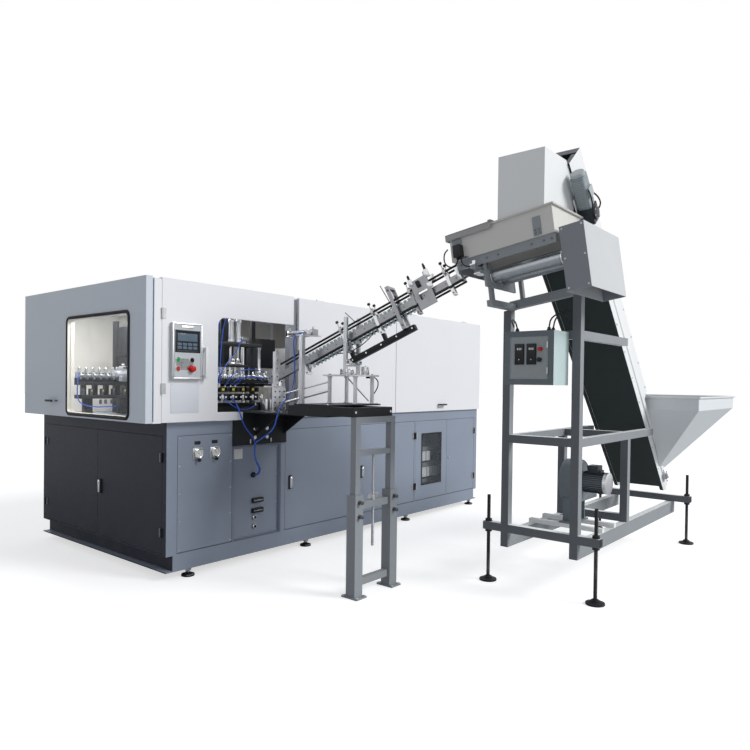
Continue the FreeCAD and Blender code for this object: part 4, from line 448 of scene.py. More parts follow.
# Faces that turn left, and the end doors, carry the slate's painted shade.
finish_node("plinth", slate, (slate_painted_shade, *ALL, TO_LEFT), (black_coat, (0, 0, 0), (FAR, FAR, 59)))
finish_node("cabinet_frame", slate, (slate_painted_shade, *ALL, TO_LEFT))
finish_node("cabinet_panels", slate)
finish_node("front_fittings", black_plastic, (zinc, (150, -18, 790), (480, 0, 930)))
finish_node("end_door_front", slate_painted_shade, (slate, *END_HINGES), (black_coat, *END_LOCK))
finish_node("end_door_rear", slate_painted_shade, (slate, *END_HINGES))
finish_node("air_door", slate, (zinc, *HINGES), (black_coat, (1090, -7, 500), (1134, 0, 620)))
finish_node("valve_door", slate, (zinc, *HINGES), (black_coat, (1960, -7, 500), (2004, 0, 620)))
finish_node("switchgear_door_left", slate, (zinc, *HINGES),
            (pane_grey, (2914, -3.5, 344), (3243, 3.5, 848)),
            (black_plastic, (2899, -6, 329), (3258, -4.9, 863)))
finish_node("switchgear_door_right", slate, (zinc, *HINGES))
for name in ("end_door_handle", "air_door_handle", "valve_door_handle"):
    finish_node(name, black_coat)
duct_grey = plastic("wire_duct", tone(120, 124, 128), 0.5)
breaker_grey = plastic("breaker_housing", tone(205, 208, 208), 0.4)
finish_node("switchgear", motor_dark, (duct_grey, (2850, 125, 300), (3850, 191, 705)),
            (breaker_grey, (2870, 106, 380), (3850, 184, 486)),
            (breaker_grey, (2870, 106, 550), (3400, 184, 656)),
            (black_plastic, (2870, 106, 720), (3400, 184, 826)),
            (black_plastic, (3430, 60, 540), (3700, 192, 900)))
print("cabinet coated")

# %% Hood and operator panel
cream = paint("cream_lining", tone(233, 229, 218), 0.5, dust=0, drift=0.012)
end_pane = clear_sheet("end_pane", tone(236, 240, 242), 0.01, 0.10)
# The hood's faces that turn left, and the end flap below, carry the pale coat's painted shade.
finish_node("hood_shell", pale,
            (pale_painted_shade, (-184, -51, 1080), (-60, 1900, 2060), TO_LEFT),
            (cream, (-136, 1700, 1085), (3970, 1833, 2050), TO_NEAR),
            (cream, (-129, 1755, 1096), (-63, 1821, 2039)),
            (post_grey, (1095, 0, 1080), (1167, 60, 2041)),
            (post_grey, (2418, 0, 1080), (2470, 60, 2041)))
finish_node("end_flap", pale_painted_shade,
            (cream, (-189, 163, 1107), (-130, 1061, 1832)),
            (black_rubber, (-189, 163, 1107), (-164, 1061, 1832)),
            (end_pane, (-169.5, 179, 1123), (-162.5, 1045, 1816)),
            (black_coat, (-222, 1210, 1190), (-184, 1360, 1212)),
            (zinc, (-189, -FAR, 2050), (-100, FAR, 2080)))
finish_node("control_door", pale,
            (pale, (236, -100, 1385), (266, -50.5, 1610)),
            (zinc, (-90, -70, 1270), (-38, -50.5, 1860)))
panel_silver = paint("panel_silver_coat", tone(190, 194, 198), 0.35, dust=0, drift=0.02)
screen_black = plastic("screen_glass", tone(40, 45, 54), 0.12, depth=0)
finish_node("operator_panel", panel_silver,
            (screen_black, (11, -80, 1566), (199, -75, 1704)),
            (bright_steel, (0, -84, 1420), (210, -80.5, 1550)))
for name in ("middle_flap", "right_flap"):
    finish_node(name, pale, (black_coat, (-FAR, -60, 1140), (FAR, -20.5, 1162)),
                (zinc, (-FAR, -30, 2050), (FAR, 60, 2080)))
finish_node("start_button", green_plastic)
finish_node("stop_button", red_plastic)
finish_node("mode_selector", black_plastic)
finish_node("emergency_stop", red_plastic)
print("hood coated")

# %% Blow station, oven, infeed and stand
finish_node("clamp_frame", bright_steel, (motor_coat, (330, 330, 1085), (990, 1170, 1110)),
            (aluminium, (330, 330, 1699), (990, 1170, 2030)),
            (aluminium, (190, 580, 1370), (1130, 620, 1401)))
for name in ("platen_front", "platen_rear"):
    finish_node(name, aluminium, (bright_steel, (440, 640, 1140), (880, 860, 1340)))
finish_node("stretch_head", bright_steel, (aluminium, (400, 690, 1589), (920, 810, 1615)))
finish_node("gripper_beam", aluminium, (bright_steel, (-70, 560, 1431), (1100, 740, 1445)))
finish_node("heating_line", zinc, (bright_steel, (1170, 225, 1329), (3690, 280, 1371)),
            (ivory_plastic, (1402, 373, 1200), (3650, 387, 1570)))
finish_node("infeed_bridge", black_coat)
finish_node("infeed_table", aluminium, (black_coat, (619, -906, 1209), (1161, -574, 1221)),
            (bright_steel, (894, -901, 1414), (1146, -579, 1428)),
            (black_plastic, (1144, -806, 1402), (1176, -774, 1428)),
            (bright_steel, (950, -411, 1715), (1011, -99, 1770)))
finish_node("stop_plunger", bright_steel)
oiled_steel = metal("oiled_steel", (0.16, 0.165, 0.175), 0.34, (8, 8, 120))
rail_steel = metal("rail_steel", (0.33, 0.34, 0.36), 0.32, (6, 300, 300))
finish_node("infeed_rail", rail_steel, (oiled_steel, (-44, -1701, 65), (44, -159, 79)),
            (bright_steel, (-24, -1741, 22), (24, 1, 24), (0, 0, 1)),
            (oiled_steel, (-44, -1701, -47), (44, -399, -33)),
            (bright_steel, (-32, -1612, -97), (32, -328, 104)),
            (rail_steel, (-64, -1481, -151), (64, -1173, 181)), group=RAIL)
finish_node("preforms", preform_clear)
finish_node("supply_hose", hose_blue)
finish_node("infeed_hose", hose_blue)
finish_node("sensor_cable", black_plastic)
stand_grey = paint("stand_coat", tone(140, 146, 151), 0.4)
# The next coat is painted shade: a slightly darker copy of the stand coat for the stand's faces
# that turn left.
stand_painted_shade = paint("stand_coat_painted_shade", tone(140, 144, 149), 0.4)
finish_node("stand_outer_frame", stand_grey, (stand_painted_shade, *ALL, TO_LEFT))
finish_node("stand_inner_frame", stand_grey, (stand_painted_shade, *ALL, TO_LEFT),
            (bright_steel, (790, -1160, 299), (818, -1135, 899)))
finish_node("stand_wing_nut", zinc)
print("infeed coated")

# %% Frame, trough and elevator of the feeder
feeder_near = paint("feeder_near_coat", tone(198, 201, 203), 0.42)
# The next coat is painted shade for the near faces of the feeder's tubes, lighter than the painted
# shade on their left faces.
tube_near_painted_shade = paint("feeder_tube_near_painted_shade_coat", tone(143, 148, 152), 0.42, dust=0.1)
belt_side = paint("belt_side_coat", tone(46, 54, 54), 0.5)
# The frame's near and left faces carry painted shade.
finish_node("feeder_frame", feeder_pale, (tube_near_painted_shade, *ALL, TO_NEAR),
            (feeder_painted_shade, *ALL, TO_LEFT))
finish_node("feeder_feet", black_coat)
trough_coat = paint("trough_coat", tone(214, 213, 208), 0.4, drift=0.015)
finish_node("trough", trough_coat, group=TROUGH)
finish_node("trough_carriage", feeder_grey,
            (aluminium, (-70, -FAR, -86), (60, FAR, -60)),
            (black_plastic, (-43, -96, 14), (0.5, -44, 91)), group=TROUGH)
roller_steel = metal("roller_steel", (0.42, 0.45, 0.48), 0.3, (200, 6, 200))
for name in ("roller_left", "roller_right"):
    finish_node(name, roller_steel)
# The next coat is painted shade: a darker copy of the gear housing's coat for its faces that turn
# left.
gear_left_painted_shade = paint("gear_housing_left_painted_shade_coat", tone(138, 142, 148), 0.42)
finish_node("gear_housing", feeder_near, (gear_left_painted_shade, *ALL, TO_LEFT))
finish_node("chute_hood", feeder_pale, (feeder_pale, *ALL, TO_LEFT))
# The elevator frame's faces that turn left carry painted shade.
finish_node("elevator_frame", feeder_pale,
            (belt_green, (300, 25, -107), (3110, 405, -100)),
            (feeder_painted_shade, *ALL, TO_LEFT),
            (belt_side, (0, -1, -108), (3151, 431, 108), (0, 0, -1)),
            (zinc, (100, -31, -70), (3060, 0, 10)), (zinc, (100, 430, -70), (3060, 470, 10)),
            (motor_dark, (279, -101, -211), (391, -5, -104)),
            (motor_coat, (69, -98, -209), (281, -10, -108)), group=ELEVATOR)
finish_node("elevator_belt", belt_green)
for name in ("head_pulley", "tail_pulley"):
    finish_node(name, black_rubber)
print("trough and elevator coated")

# %% Hopper, blower and control box
hopper_coat = paint("hopper_coat", tone(222, 227, 230), 0.4, drift=0.015)
blower_coat = paint("blower_coat", tone(112, 121, 127), 0.4, dust=0.1)
finish_node("hopper", hopper_coat)
finish_node("blower", blower_coat, (motor_dark, (1950, -2256, 580), (2150, -2056, 790)),
            (feeder_grey, (2190, -2056, 534), (2345, -1944, 636)),
            (feeder_pale, (1900, -2261, 359), (2200, -1700, 391)))
finish_node("blower_impeller", aluminium)
box_side = paint("box_side_coat", tone(196, 214, 214), 0.4)
# The next coat is painted shade: a dark copy of the box coat for the box's faces that turn left,
# where its door faces.
box_front_painted_shade = paint("box_front_painted_shade_coat", tone(108, 117, 122), 0.42)
box_door_coat = paint("box_door_coat", tone(158, 164, 166), 0.42)
# The box's faces that turn left carry painted shade.
finish_node("feeder_box", box_side, (box_front_painted_shade, *ALL, TO_LEFT))
finish_node("feeder_box_door", box_door_coat,
            (black_plastic, (1284.8, -2061, 1498), (1291.2, -1912, 1630)),
            (zinc, (1270, -2146, 1380), (1284.2, -2132, 1700)))
finish_node("box_button", red_plastic)
finish_node("box_knob", black_plastic)
for cord, coat in ((supply_line, hose_blue), (infeed_line, hose_blue),
                   (sensor_line, black_plastic)):
    cord.data.materials.append(coat)
print("feeder coated")

# %% [markdown]
# ## Forms from arrays
#
# The small parts of a machine are turned, drawn or cut from bar, so three forms cover them. A
# turned part is a profile spun about an axis. A bar or plate is a rounded rectangle drawn to a
# height, with its edges broken by a quarter circle, as a file or a die leaves them. A rod or tube
# is a circle carried along a path. Each is computed as one array of points for the whole grid,
# and a part that repeats is the same array added to each place.

# %% Turned parts
def grid_faces(rows, columns):
    """Quads between neighbouring rows of a grid whose columns close into a ring, row by row."""
    row, column = np.meshgrid(np.arange(rows - 1), np.arange(columns), indexing="ij")
    here, beside = row * columns + column, row * columns + (column + 1) % columns
    return np.stack([here, beside, beside + columns, here + columns], -1).reshape(-1, 4)


TO_AXIS = {"z": ((1, 0, 0), (0, 1, 0), (0, 0, 1)), "x": ((0, 1, 0), (0, 0, 1), (1, 0, 0)),
           "y": ((0, 0, 1), (1, 0, 0), (0, 1, 0))}


def turned(profile, place=(0, 0, 0), axis="z", sides=24):
    """Spun form: radius r and height h of each profile point give (r cos a, r sin a, h)."""
    radius, height = np.array(profile, float).T
    angle = np.linspace(0, 2 * np.pi, sides, endpoint=False)
    ring = np.stack([np.outer(radius, np.cos(angle)), np.outer(radius, np.sin(angle)),
                     np.repeat(height[:, None], sides, 1)], -1)
    points = ring.reshape(-1, 3) @ np.array(TO_AXIS[axis], float) + place
    faces = grid_faces(len(radius), sides).tolist()
    first = [tuple(range(sides))[::-1]]
    last = [tuple(range((len(radius) - 1) * sides, len(radius) * sides))]
    return points, faces + first + last


print("a turned washer:", len(turned([(3, 0), (6, 0), (6, 1), (3, 1)])[1]), "faces")


# %% Bars and plates
def plate(lowest, highest, axis="z", corner=4, edge=2):
    """Rounded rectangle drawn along an axis; near both ends it shrinks by a quarter circle."""
    order = np.argmax(np.abs(np.array(TO_AXIS[axis])), 1)
    low_corner, high_corner = np.array(lowest, float)[order], np.array(highest, float)[order]
    centre, half = (low_corner + high_corner) / 2, (high_corner - low_corner) / 2
    corner = min(corner, *(half[:2] * 0.98))
    edge = min(edge, corner * 0.95, half[2] * 0.95)
    bend = np.linspace(0, np.pi / 2, 3)
    turn = (bend + np.arange(4)[:, None] * np.pi / 2).ravel()
    signs = np.repeat([(1, 1), (-1, 1), (-1, -1), (1, -1)], len(bend), 0)
    shrink = np.concatenate([edge * (1 - np.sin(bend)), edge * (1 - np.cos(bend))])
    rise = np.concatenate([edge * (1 - np.cos(bend)) - half[2],
                           half[2] - edge * (1 - np.sin(bend))])
    reach = (corner - shrink)[:, None, None] * np.stack([np.cos(turn), np.sin(turn)], -1)
    flat = signs * (half[:2] - corner) + reach
    points = np.concatenate([flat, np.repeat(rise[:, None, None], len(turn), 1)], -1) + centre
    points = points.reshape(-1, 3) @ np.array(TO_AXIS[axis], float)
    wide, tall = len(turn), len(rise)
    ends = [tuple(range(wide))[::-1], tuple(range((tall - 1) * wide, tall * wide))]
    return points, grid_faces(tall, wide).tolist() + ends


def plates(rows, *shape, **more):
    """A plate for each row: lowest corner, highest corner and, where they differ, its shape."""
    return [plate(*row, *shape, **more) for row in rows]


print("a plate:", len(plate((0, 0, 0), (40, 20, 10))[1]), "faces")


# %% Rods, tubes and wires
def rod_along(path, radius, sides=10, closed=False):
    """A circle carried along a path, square to it at each point, turned as little as it can."""
    path = np.array(path, float)
    ahead = np.roll(path, -1, 0) - np.roll(path, 1, 0)
    if not closed:
        ahead[0], ahead[-1] = path[1] - path[0], path[-1] - path[-2]
    ahead /= np.linalg.norm(ahead, axis=1, keepdims=True)
    spread = np.abs(ahead).mean(0)
    fixed = np.eye(3)[np.argmin(spread)]
    side = np.cross(ahead, fixed)
    side /= np.linalg.norm(side, axis=1, keepdims=True)
    up = np.cross(side, ahead)
    angle = np.linspace(0, 2 * np.pi, sides, endpoint=False)
    radius = np.broadcast_to(radius, len(path))[:, None, None]
    ring = (np.cos(angle)[None, :, None] * side[:, None] + np.sin(angle)[None, :, None]
            * up[:, None]) * radius + path[:, None]
    faces = grid_faces(len(path), sides).tolist()
    count = len(path) * sides
    if closed:
        seam = np.arange(sides)
        after = np.roll(seam, -1)
        faces += np.stack([seam + count - sides, after + count - sides, after, seam],
                          -1).tolist()
    else:
        faces += [tuple(range(sides))[::-1], tuple(range(count - sides, count))]
    return ring.reshape(-1, 3), faces


def eased(points, steps=8):
    """A smooth path near a few points: each inner corner becomes a parabola between middles."""
    points = np.array(points, float)
    middles = (points[1:] + points[:-1]) / 2
    share = np.linspace(0, 1, steps, endpoint=False)[:, None]
    bends = [(1 - share) ** 2 * a + 2 * share * (1 - share) * p + share ** 2 * b
             for a, p, b in zip(middles, points[1:-1], middles[1:])]
    return np.concatenate([points[:1], *bends, middles[-1:], points[-1:]])


def wires(paths, radius, sides=8):
    """Round wires, each eased along its own path."""
    return [rod_along(eased(path), radius, sides) for path in paths]


print("a wire eased over four points:", len(eased([(0, 0), (1, 0), (1, 1), (0, 1)])), "points")


# %% Places, and forms put there
def every(*sides):
    """Each place whose x, y and z come from the given numbers; the last one changes fastest."""
    return list(itertools.product(*[np.atleast_1d(side).tolist() for side in sides]))


def repeated(form, places):
    """The same form at each of several places: its points plus each place."""
    points, faces = form
    places = np.array(places, float).reshape(-1, 3)
    everywhere = (points[None] + places[:, None]).reshape(-1, 3)
    shift = len(points)
    return everywhere, [[corner + shift * copy for corner in face]
                        for copy in range(len(places)) for face in faces]


def turned_form(form, axis, degrees, about=(0, 0, 0)):
    """A form turned about an axis through a point."""
    matrix = np.array(Matrix.Rotation(math.radians(degrees), 3, axis))
    points, faces = form
    return (points - about) @ matrix.T + about, faces


def spun(profile, places, axis="z", sides=24):
    """The same turned part at each of several places."""
    return [turned(profile, place, axis, sides) for place in places]


print("two by three places:", every((0, 1), 0, (0, 1, 2)))


# %% One object from forms
def piece(name, coat, *forms, body="machine", slot=None, group=LEVEL, crease=35):
    """One object from forms in drawing millimetres, smooth except where faces meet sharply."""
    points, faces, shift = [], [], 0
    for form_points, form_faces in forms:
        points.append(form_points)
        faces += [[corner + shift for corner in face] for face in form_faces]
        shift += len(form_points)
    turn = np.array(group)
    points = np.concatenate(points) @ turn[:3, :3].T + turn[:3, 3]
    mesh = bpy.data.meshes.new(name)
    mesh.from_pydata(metres(points).tolist(), [], faces)
    solid = bmesh.new()
    solid.from_mesh(mesh)
    bmesh.ops.recalc_face_normals(solid, faces=solid.faces)
    solid.to_mesh(mesh)
    solid.free()
    mesh.shade_smooth()
    mesh.set_sharp_from_angle(angle=math.radians(crease))
    mesh.materials.append(coat)
    thing = bpy.data.objects.new(name, mesh)
    bpy.context.scene.collection.objects.link(thing)
    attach(thing, body)
    print(f"{name}: {len(faces)} faces")
    return thing


print("pieces can be made from forms")


# %% Heads of screws and bolts, and drawn outlines
def headed(shape, way, sides):
    """A profile turned about the way's axis, its heights upside down where the way is minus."""
    sign = -1 if way[0] == "-" else 1
    return turned([(r, h * sign) for r, h in shape], axis=way[-1], sides=sides)


def screws(radius, tall, way, places, sides=12):
    """Domed screw heads with a sunk socket that stand out one way, such as -y, at each place."""
    shape = [(radius, 0), (radius, tall * 0.6), (radius * 0.8, tall), (radius * 0.5, tall),
             (radius * 0.42, tall * 0.5), (0.01, tall * 0.5)]
    return repeated(headed(shape, way, sides), places)


def bolts(radius, tall, way, places):
    """Hexagon heads or nuts with a chamfered face that stand out one way at each place."""
    shape = [(radius, 0), (radius, tall * 0.8), (radius * 0.85, tall), (0.01, tall)]
    return repeated(headed(shape, way, 6), places)


def drawn(outline, low, high, axis="z"):
    """Any flat outline carried from one height to another, with a face at each end."""
    outline = np.array(outline, float)
    count = len(outline)
    rings = [np.column_stack([outline, np.full(count, height)]) for height in (low, high)]
    points = np.concatenate(rings) @ np.array(TO_AXIS[axis], float)
    ends = [tuple(range(count))[::-1], tuple(range(count, 2 * count))]
    return points, grid_faces(2, count).tolist() + ends


print("forms ready: turned, plate, rod_along, drawn, screws, bolts")

# %% [markdown]
# ## Cabinet: gauges, screws and feet
#
# The left front panel carries two regulator gauges: a steel rim, and a white dial with its scale
# and a black needle. The panels are held by domed socket screws. The base stands on levelling
# feet: a turned pad, a lock nut and a threaded stem. Those threads are a turned profile of small
# ridges, which looks like a thread from any distance and has no end to hide.

# %% Gauges
GAUGE_X, GAUGE_Z = (241, 385), 860
DIAL_FACE, DIAL_RADIUS = -19.3, 24
RIM = [(27, -18), (27, -21), (28, -23), (31, -24.5), (34.4, -23), (35, -19), (34.6, -2)]
DIAL = [(27.5, -18.2), (27.5, -18.8), (0.01, -18.8)]
KNOB = [(11, 0), (12, -3), (12, -14), (10, -17), (0.01, -17)]


def dial_marks(x):
    """Short bars round a dial from 225 degrees down to -45, and a needle through its centre."""
    middle = np.array((x, DIAL_FACE, GAUGE_Z))
    angles = np.radians([*np.linspace(225, -45, 13), 130])
    *tips, needle = np.stack([np.cos(angles), 0 * angles, np.sin(angles)], -1) * DIAL_RADIUS
    hub = [(3, DIAL_FACE + 0.5), (3, DIAL_FACE - 1.2), (0.01, DIAL_FACE - 1.8)]
    return [*[rod_along([middle + tip * 0.8, middle + tip], 0.6, 6) for tip in tips],
            rod_along([middle - needle * 0.25, middle + needle * 0.75], 0.9, 6),
            turned(hub, (x, 0, GAUGE_Z), "y", 16)]


piece("gauge_rims", bright_steel, *spun(RIM, every(GAUGE_X, 0, GAUGE_Z), "y", 40))
piece("gauge_dials", ivory_plastic, *spun(DIAL, every(GAUGE_X, 0, GAUGE_Z), "y", 40))
piece("gauge_scales", black_plastic, *[form for x in GAUGE_X for form in dial_marks(x)])
piece("gauge_plates", black_plastic,
      *plates([((x - 24, -2.2, 922), (x + 24, 0.1, 946)) for x in GAUGE_X], "y", 2, 0.6))
piece("regulator_knobs", black_plastic, *spun(KNOB, every(GAUGE_X, -18, GAUGE_Z - 46), "y", 20))

# %% Screws and service panel fittings
SCREW_Z = (210, 586, 964)
REAR_Y, END_X, SERVICE_Y = 1890, 3970, 27
piece("rear_panel_screws", zinc,
      screws(7, 3.6, "y", every((75, 690, 1330, 1960, 2060, 2680, 3300, 3895), REAR_Y, SCREW_Z)),
      screws(7, 3.6, "x", every(END_X, (80, 945, 1810), SCREW_Z)))
piece("panel_screws", zinc, screws(6, 3.2, "-y", every((100, 526), 0, (200, 400, 590, 780, 974))),
      screws(6, 3.2, "-y", every((572, 992), SERVICE_Y, (200, 420, 640, 860))))
bracket_spots = every((741, 859), -12, (1010, 945))
piece("bracket_bolts", bright_steel, bolts(12, 8, "-y", bracket_spots),
      repeated(turned([(15, 0), (15, -2), (9, -2)], axis="y"), bracket_spots))
piece("bracket_slots", zinc,
      *plates([((x - 5, -13.2, 900), (x + 5, -11.5, 934)) for x in (700, 900)], "y", 4.9, 0.4))
piece("small_blank_plate", ivory_plastic, plate((566, 24.5, 787), (655, 27.2, 862), "y", 3, 0.6))
piece("port_rings", bright_steel,
      *spun([(17.5, 21), (18.5, 14), (16, 11), (12, 10.5), (11.5, 15)],
            every(770, 0, (257, 326)), "y", 28))
piece("socket_contacts", zinc,
      *plates([((x, 1.5, z + 12), (x + 6, 3.4, z + 22)) for x in range(755, 839, 12)
               for z in (362, 440)], "y", 2, 0.5))
piece("hose_grommet", black_rubber,
      turned([(21, 20), (21, 15), (18, 12.5), (13, 12.5), (11, 15), (11, 26)], (755, 0, 655),
             "y", 32))


# %% Levelling feet
def thread(radius, low, high, pitch):
    """A turned stem whose radius rises and falls by a tenth, once for each pitch."""
    count = int((high - low) / pitch) * 2 + 1
    ridge = radius * (1 - 0.10 * (np.arange(count) % 2))
    return np.stack([ridge, np.linspace(low, high, count)], -1).tolist()


FEET = every((200, 1330, 2700, 3880), (40, 1850), 0)
PAD = [(44, 0.3), (46, 3), (46, 9), (43, 13), (24, 16), (17, 21), (14.5, 27), (12.4, 28)]
piece("machine_foot_pads", black_rubber, repeated(turned(PAD, sides=36), FEET))
piece("machine_foot_stems", zinc, repeated(turned(thread(12.6, 26, 60, 3), sides=16), FEET),
      repeated(turned([(22, 38), (24, 40), (24, 51), (22, 53), (12, 53)], sides=6), FEET))

# %% [markdown]
# ## Turn handles and hinges
#
# Each locked door has a flush turn handle: a bright grip with a key cap, lying on a black plate.
# The hinges get turned knuckles with a groove at each joint of their leaves.

# %% Handles and hinge knuckles
def handle(door, x, degrees=0, shift=(0, 0, 0)):
    """A grip with rounded edges over the CAD bar, and a round key cap with a slot."""
    forms = [plate((x - 12.3, -21.5, 511.5), (x + 12.3, -8, 610.5), "y", 8, 4),
             turned([(9, -21), (9, -23.5), (7.5, -24.5), (0.01, -24.5)], (x, 0, 590), "y", 24),
             plate((x - 1.2, -25.2, 584), (x + 1.2, -24, 596), "y", 1, 0.4)]
    if degrees:
        forms = [turned_form(form, "Z", degrees) for form in forms]
        forms = [(points + np.array(shift), faces) for points, faces in forms]
    piece(f"{door}_grip", bright_steel, forms[0], body=f"{door}_handle_body")
    piece(f"{door}_key", bright_steel, *forms[1:], body=f"{door}_handle_body")


handle("air_door", 1112)
handle("valve_door", 1982)
handle("end_door", 0, -90, (0, 893, 0))
KNUCKLE = [(6.4, -32), (7.2, -31), (7.2, -10.6), (6.6, -10.2), (6.6, -9.8), (7.2, -9.4),
           (7.2, 9.4), (6.6, 9.8), (6.6, 10.2), (7.2, 10.6), (7.2, 31), (6.4, 32)]
for door, x, y in (("air_door", 1856.5, -7.3), ("valve_door", 2776.5, -7.3),
                   ("switchgear_door_right", 3907.5, -7.3),
                   ("switchgear_door_left", 2797.5, -7.3), ("end_door_front", -7.3, 51.5),
                   ("end_door_rear", -7.3, 1838.5)):
    piece(f"{door}_knuckles", black_coat,
          repeated(turned(KNUCKLE, sides=20), every(x, y, (330.4, 843.6))), body=f"{door}_body")

# %% [markdown]
# ## Hood: rounded opening, operator panel and buttons
#
# The opening in the control door has a rounded corner, which is a small welded gusset. The
# operator panel is a pressed frame round a black screen; under it sit two buttons, a selector and
# an emergency stop, each in its ring. A bare white plate is riveted on below the panel. The
# lifting covers get bow handles, and the end window a round seal.

# %% Opening corner and bare plate
on_door = partial(piece, body="control_door_body")
ARC_Z, ARC_X, ARC_RADIUS = 1765, 431, 60
gusset = [(ARC_Z + ARC_RADIUS * math.sin(a), ARC_X + ARC_RADIUS * math.cos(a))
          for a in np.radians(np.linspace(90, 180, 12))]
DOOR_FRONT, DOOR_BACK = -50, -10
on_door("opening_corner", pale, drawn([(1825.5, 371), *gusset], DOOR_FRONT, DOOR_BACK, "y"))
plate_coat = paint("bare_plate_coat", tone(212, 215, 222), 0.35, dust=0, drift=0.01)
on_door("bare_plate", plate_coat, plate((-6, -52.2, 1150), (214, -49.8, 1352), "y", 4, 0.8))
on_door("plate_rivets", bright_steel,
        repeated(turned([(3, 0), (2.6, -1.4), (0.01, -2)], axis="y", sides=12),
                 every((4, 204), DOOR_FRONT - 2, (1160, 1342))))

# %% Screen and its frame
PANEL_FACE = -80


def panel_bars(front, corners, *shape):
    """Bars on the panel's face, each from its lowest and highest x and z."""
    return plates([((x0, PANEL_FACE - front, z0), (x1, PANEL_FACE + 1, z1))
                   for (x0, z0), (x1, z1) in corners], "y", *shape)


on_door("panel_frame", aluminium, *panel_bars(2.5, [
    ((-10.4, 1384), (-2, 1754)), ((212, 1384), (220.4, 1754)),
    ((-10.4, 1748), (220.4, 1757.4)), ((-10.4, 1380.6), (220.4, 1390))], 2, 1), slot="steel")
on_door("screen_bezel", black_plastic, *panel_bars(3, [
    ((8, 1560), (20, 1710)), ((190, 1560), (202, 1710)),
    ((8, 1698), (202, 1710)), ((8, 1560), (202, 1574))], 4, 1.5))
screen_glow = plastic("screen_picture", tone(92, 108, 122), 0.15, 60, 0)
fields = [((x, -79.6, z), (x + 32, -78.8, z + 18)) for x in (28, 68, 108, 148)
          for z in (1582, 1606)]
on_door("screen_fields", screen_glow,
        *plates(fields + [((28, -79.6, 1636), (180, -78.8, 1688))], "y", 3, 0.3))
on_door("panel_screws_front", zinc,
        screws(4, 2.4, "-y", every((4, 206), PANEL_FACE, (1400, 1740))))
on_door("blank_name_strip", aluminium,
        plate((60, PANEL_FACE - 1.2, 1722), (150, PANEL_FACE + 0.5, 1740), "y", 2, 0.6))

# %% Buttons
LEFT_X, RIGHT_X, UPPER_Z, LOWER_Z = 30, 136, 1509, 1451
BUTTONS = {"start_button": (LEFT_X, 0, UPPER_Z), "stop_button": (LEFT_X, 0, LOWER_Z),
           "mode_selector": (RIGHT_X, 0, UPPER_Z), "emergency_stop": (RIGHT_X, 0, LOWER_Z)}
CAP = [(12.9, -68), (12.9, -86), (11.8, -88.4), (10.4, -89), (9.6, -88), (0.01, -87.4)]
DISC = [(12.9, -68), (12.9, -86), (11.5, -88.5), (0.01, -89)]
MUSHROOM = [(12.9, -72), (12.9, -95.5), (19, -96.5), (20.6, -99), (20.6, -103), (19, -107.5),
            (15, -110.6), (8, -111.8), (0.01, -112)]
LEVER = ((-4.5, -12), (4.5, -12), (5.5, 8), (3, 13), (-3, 13), (-5.5, 8))
lever = drawn([(UPPER_Z + b, RIGHT_X + a) for a, b in LEVER], -100, -86, "y")
for name, end, coat, profile, sides, extra in (
        ("start_button", "cap", green_plastic, CAP, 32, ()),
        ("stop_button", "cap", red_plastic, CAP, 32, ()),
        ("mode_selector", "dial", black_plastic, DISC, 32, (lever,)),
        ("emergency_stop", "head", red_plastic, MUSHROOM, 40, ())):
    made = piece(f"{name}_{end}", coat, turned(profile, BUTTONS[name], "y", sides), *extra,
                 body=f"{name}_body")
    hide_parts(name)
RING = [(15, -79.8), (19, -79.8), (19.6, -81.5), (18.6, -84), (15.4, -84.4), (13.8, -83)]
WIDE_RING = [(15, -79.8), (25, -79.8), (25.4, -81.2), (24, -82.4), (15, -82.4)]
yellow_plastic = plastic("yellow_plastic", tone(214, 196, 70), 0.4)
on_door("button_rings", bright_steel, *spun(RING, list(BUTTONS.values())[:3], "y", 32))
on_door("stop_legend_ring", red_plastic, turned(WIDE_RING, BUTTONS["emergency_stop"], "y", 40))
on_door("door_grip", pale, plate((237, -97.5, 1388), (265, -78, 1603), "y", 9, 5))


# %% Window seal
def seal_path(low, high, corner):
    """A rectangle in y and z with quarter-circle corners, a point at each fifteen degrees."""
    points = []
    for k, (y, z) in enumerate(((high[0], high[1]), (low[0], high[1]), low, (high[0], low[1]))):
        middle = (y + corner * (1 if y == low[0] else -1), z + corner * (1 if z == low[1] else -1))
        for turn in np.radians(range(90 * k, 90 * k + 91, 15)):
            points.append((-184, middle[0] + corner * math.cos(turn),
                           middle[1] + corner * math.sin(turn)))
    return points


piece("window_seal", black_rubber,
      rod_along(seal_path((163, 1107), (1061, 1832), 40), 9, 10, closed=True), body="end_flap_body")


# %% Bow handles on the lifting covers
BOW_RADIUS = 8


def bow(start, finish, rise):
    """A bent rod: up from one foot, along and back down, its corners eased."""
    start, finish, rise = (np.array(corner, float) for corner in (start, finish, rise))
    path = [start, start + rise * 0.8, start + rise + (finish - start) * 0.08,
            finish + rise - (finish - start) * 0.08, finish + rise * 0.8, finish]
    return rod_along(eased(path, 6), BOW_RADIUS, 12)


piece("end_flap_bow", black_coat, bow((-184, 1223, 1203), (-184, 1350, 1203), (-38, 0, 0)),
      body="end_flap_body")
for flap, x in (("middle_flap", 1807.5), ("right_flap", 3216.5)):
    piece(f"{flap}_bow", black_coat, bow((x - 53, -21, 1152), (x + 53, -21, 1152), (0, -38, 0)),
          body=f"{flap}_body")

# %% [markdown]
# ## Inside the hood: columns, cylinders and grippers
#
# Through the end window and the opening one sees the blow station: a black frame, bright guide
# columns, two air cylinders, valve blocks with thin tubes, and the chain of grippers that carries
# the preforms past the moulds. It is crowded, so it is built from the same three forms: rods for
# columns and tubes, plates for blocks, and turned parts for collars and springs. Everything here
# stands clear of the moving platens and of the beam's stroke.

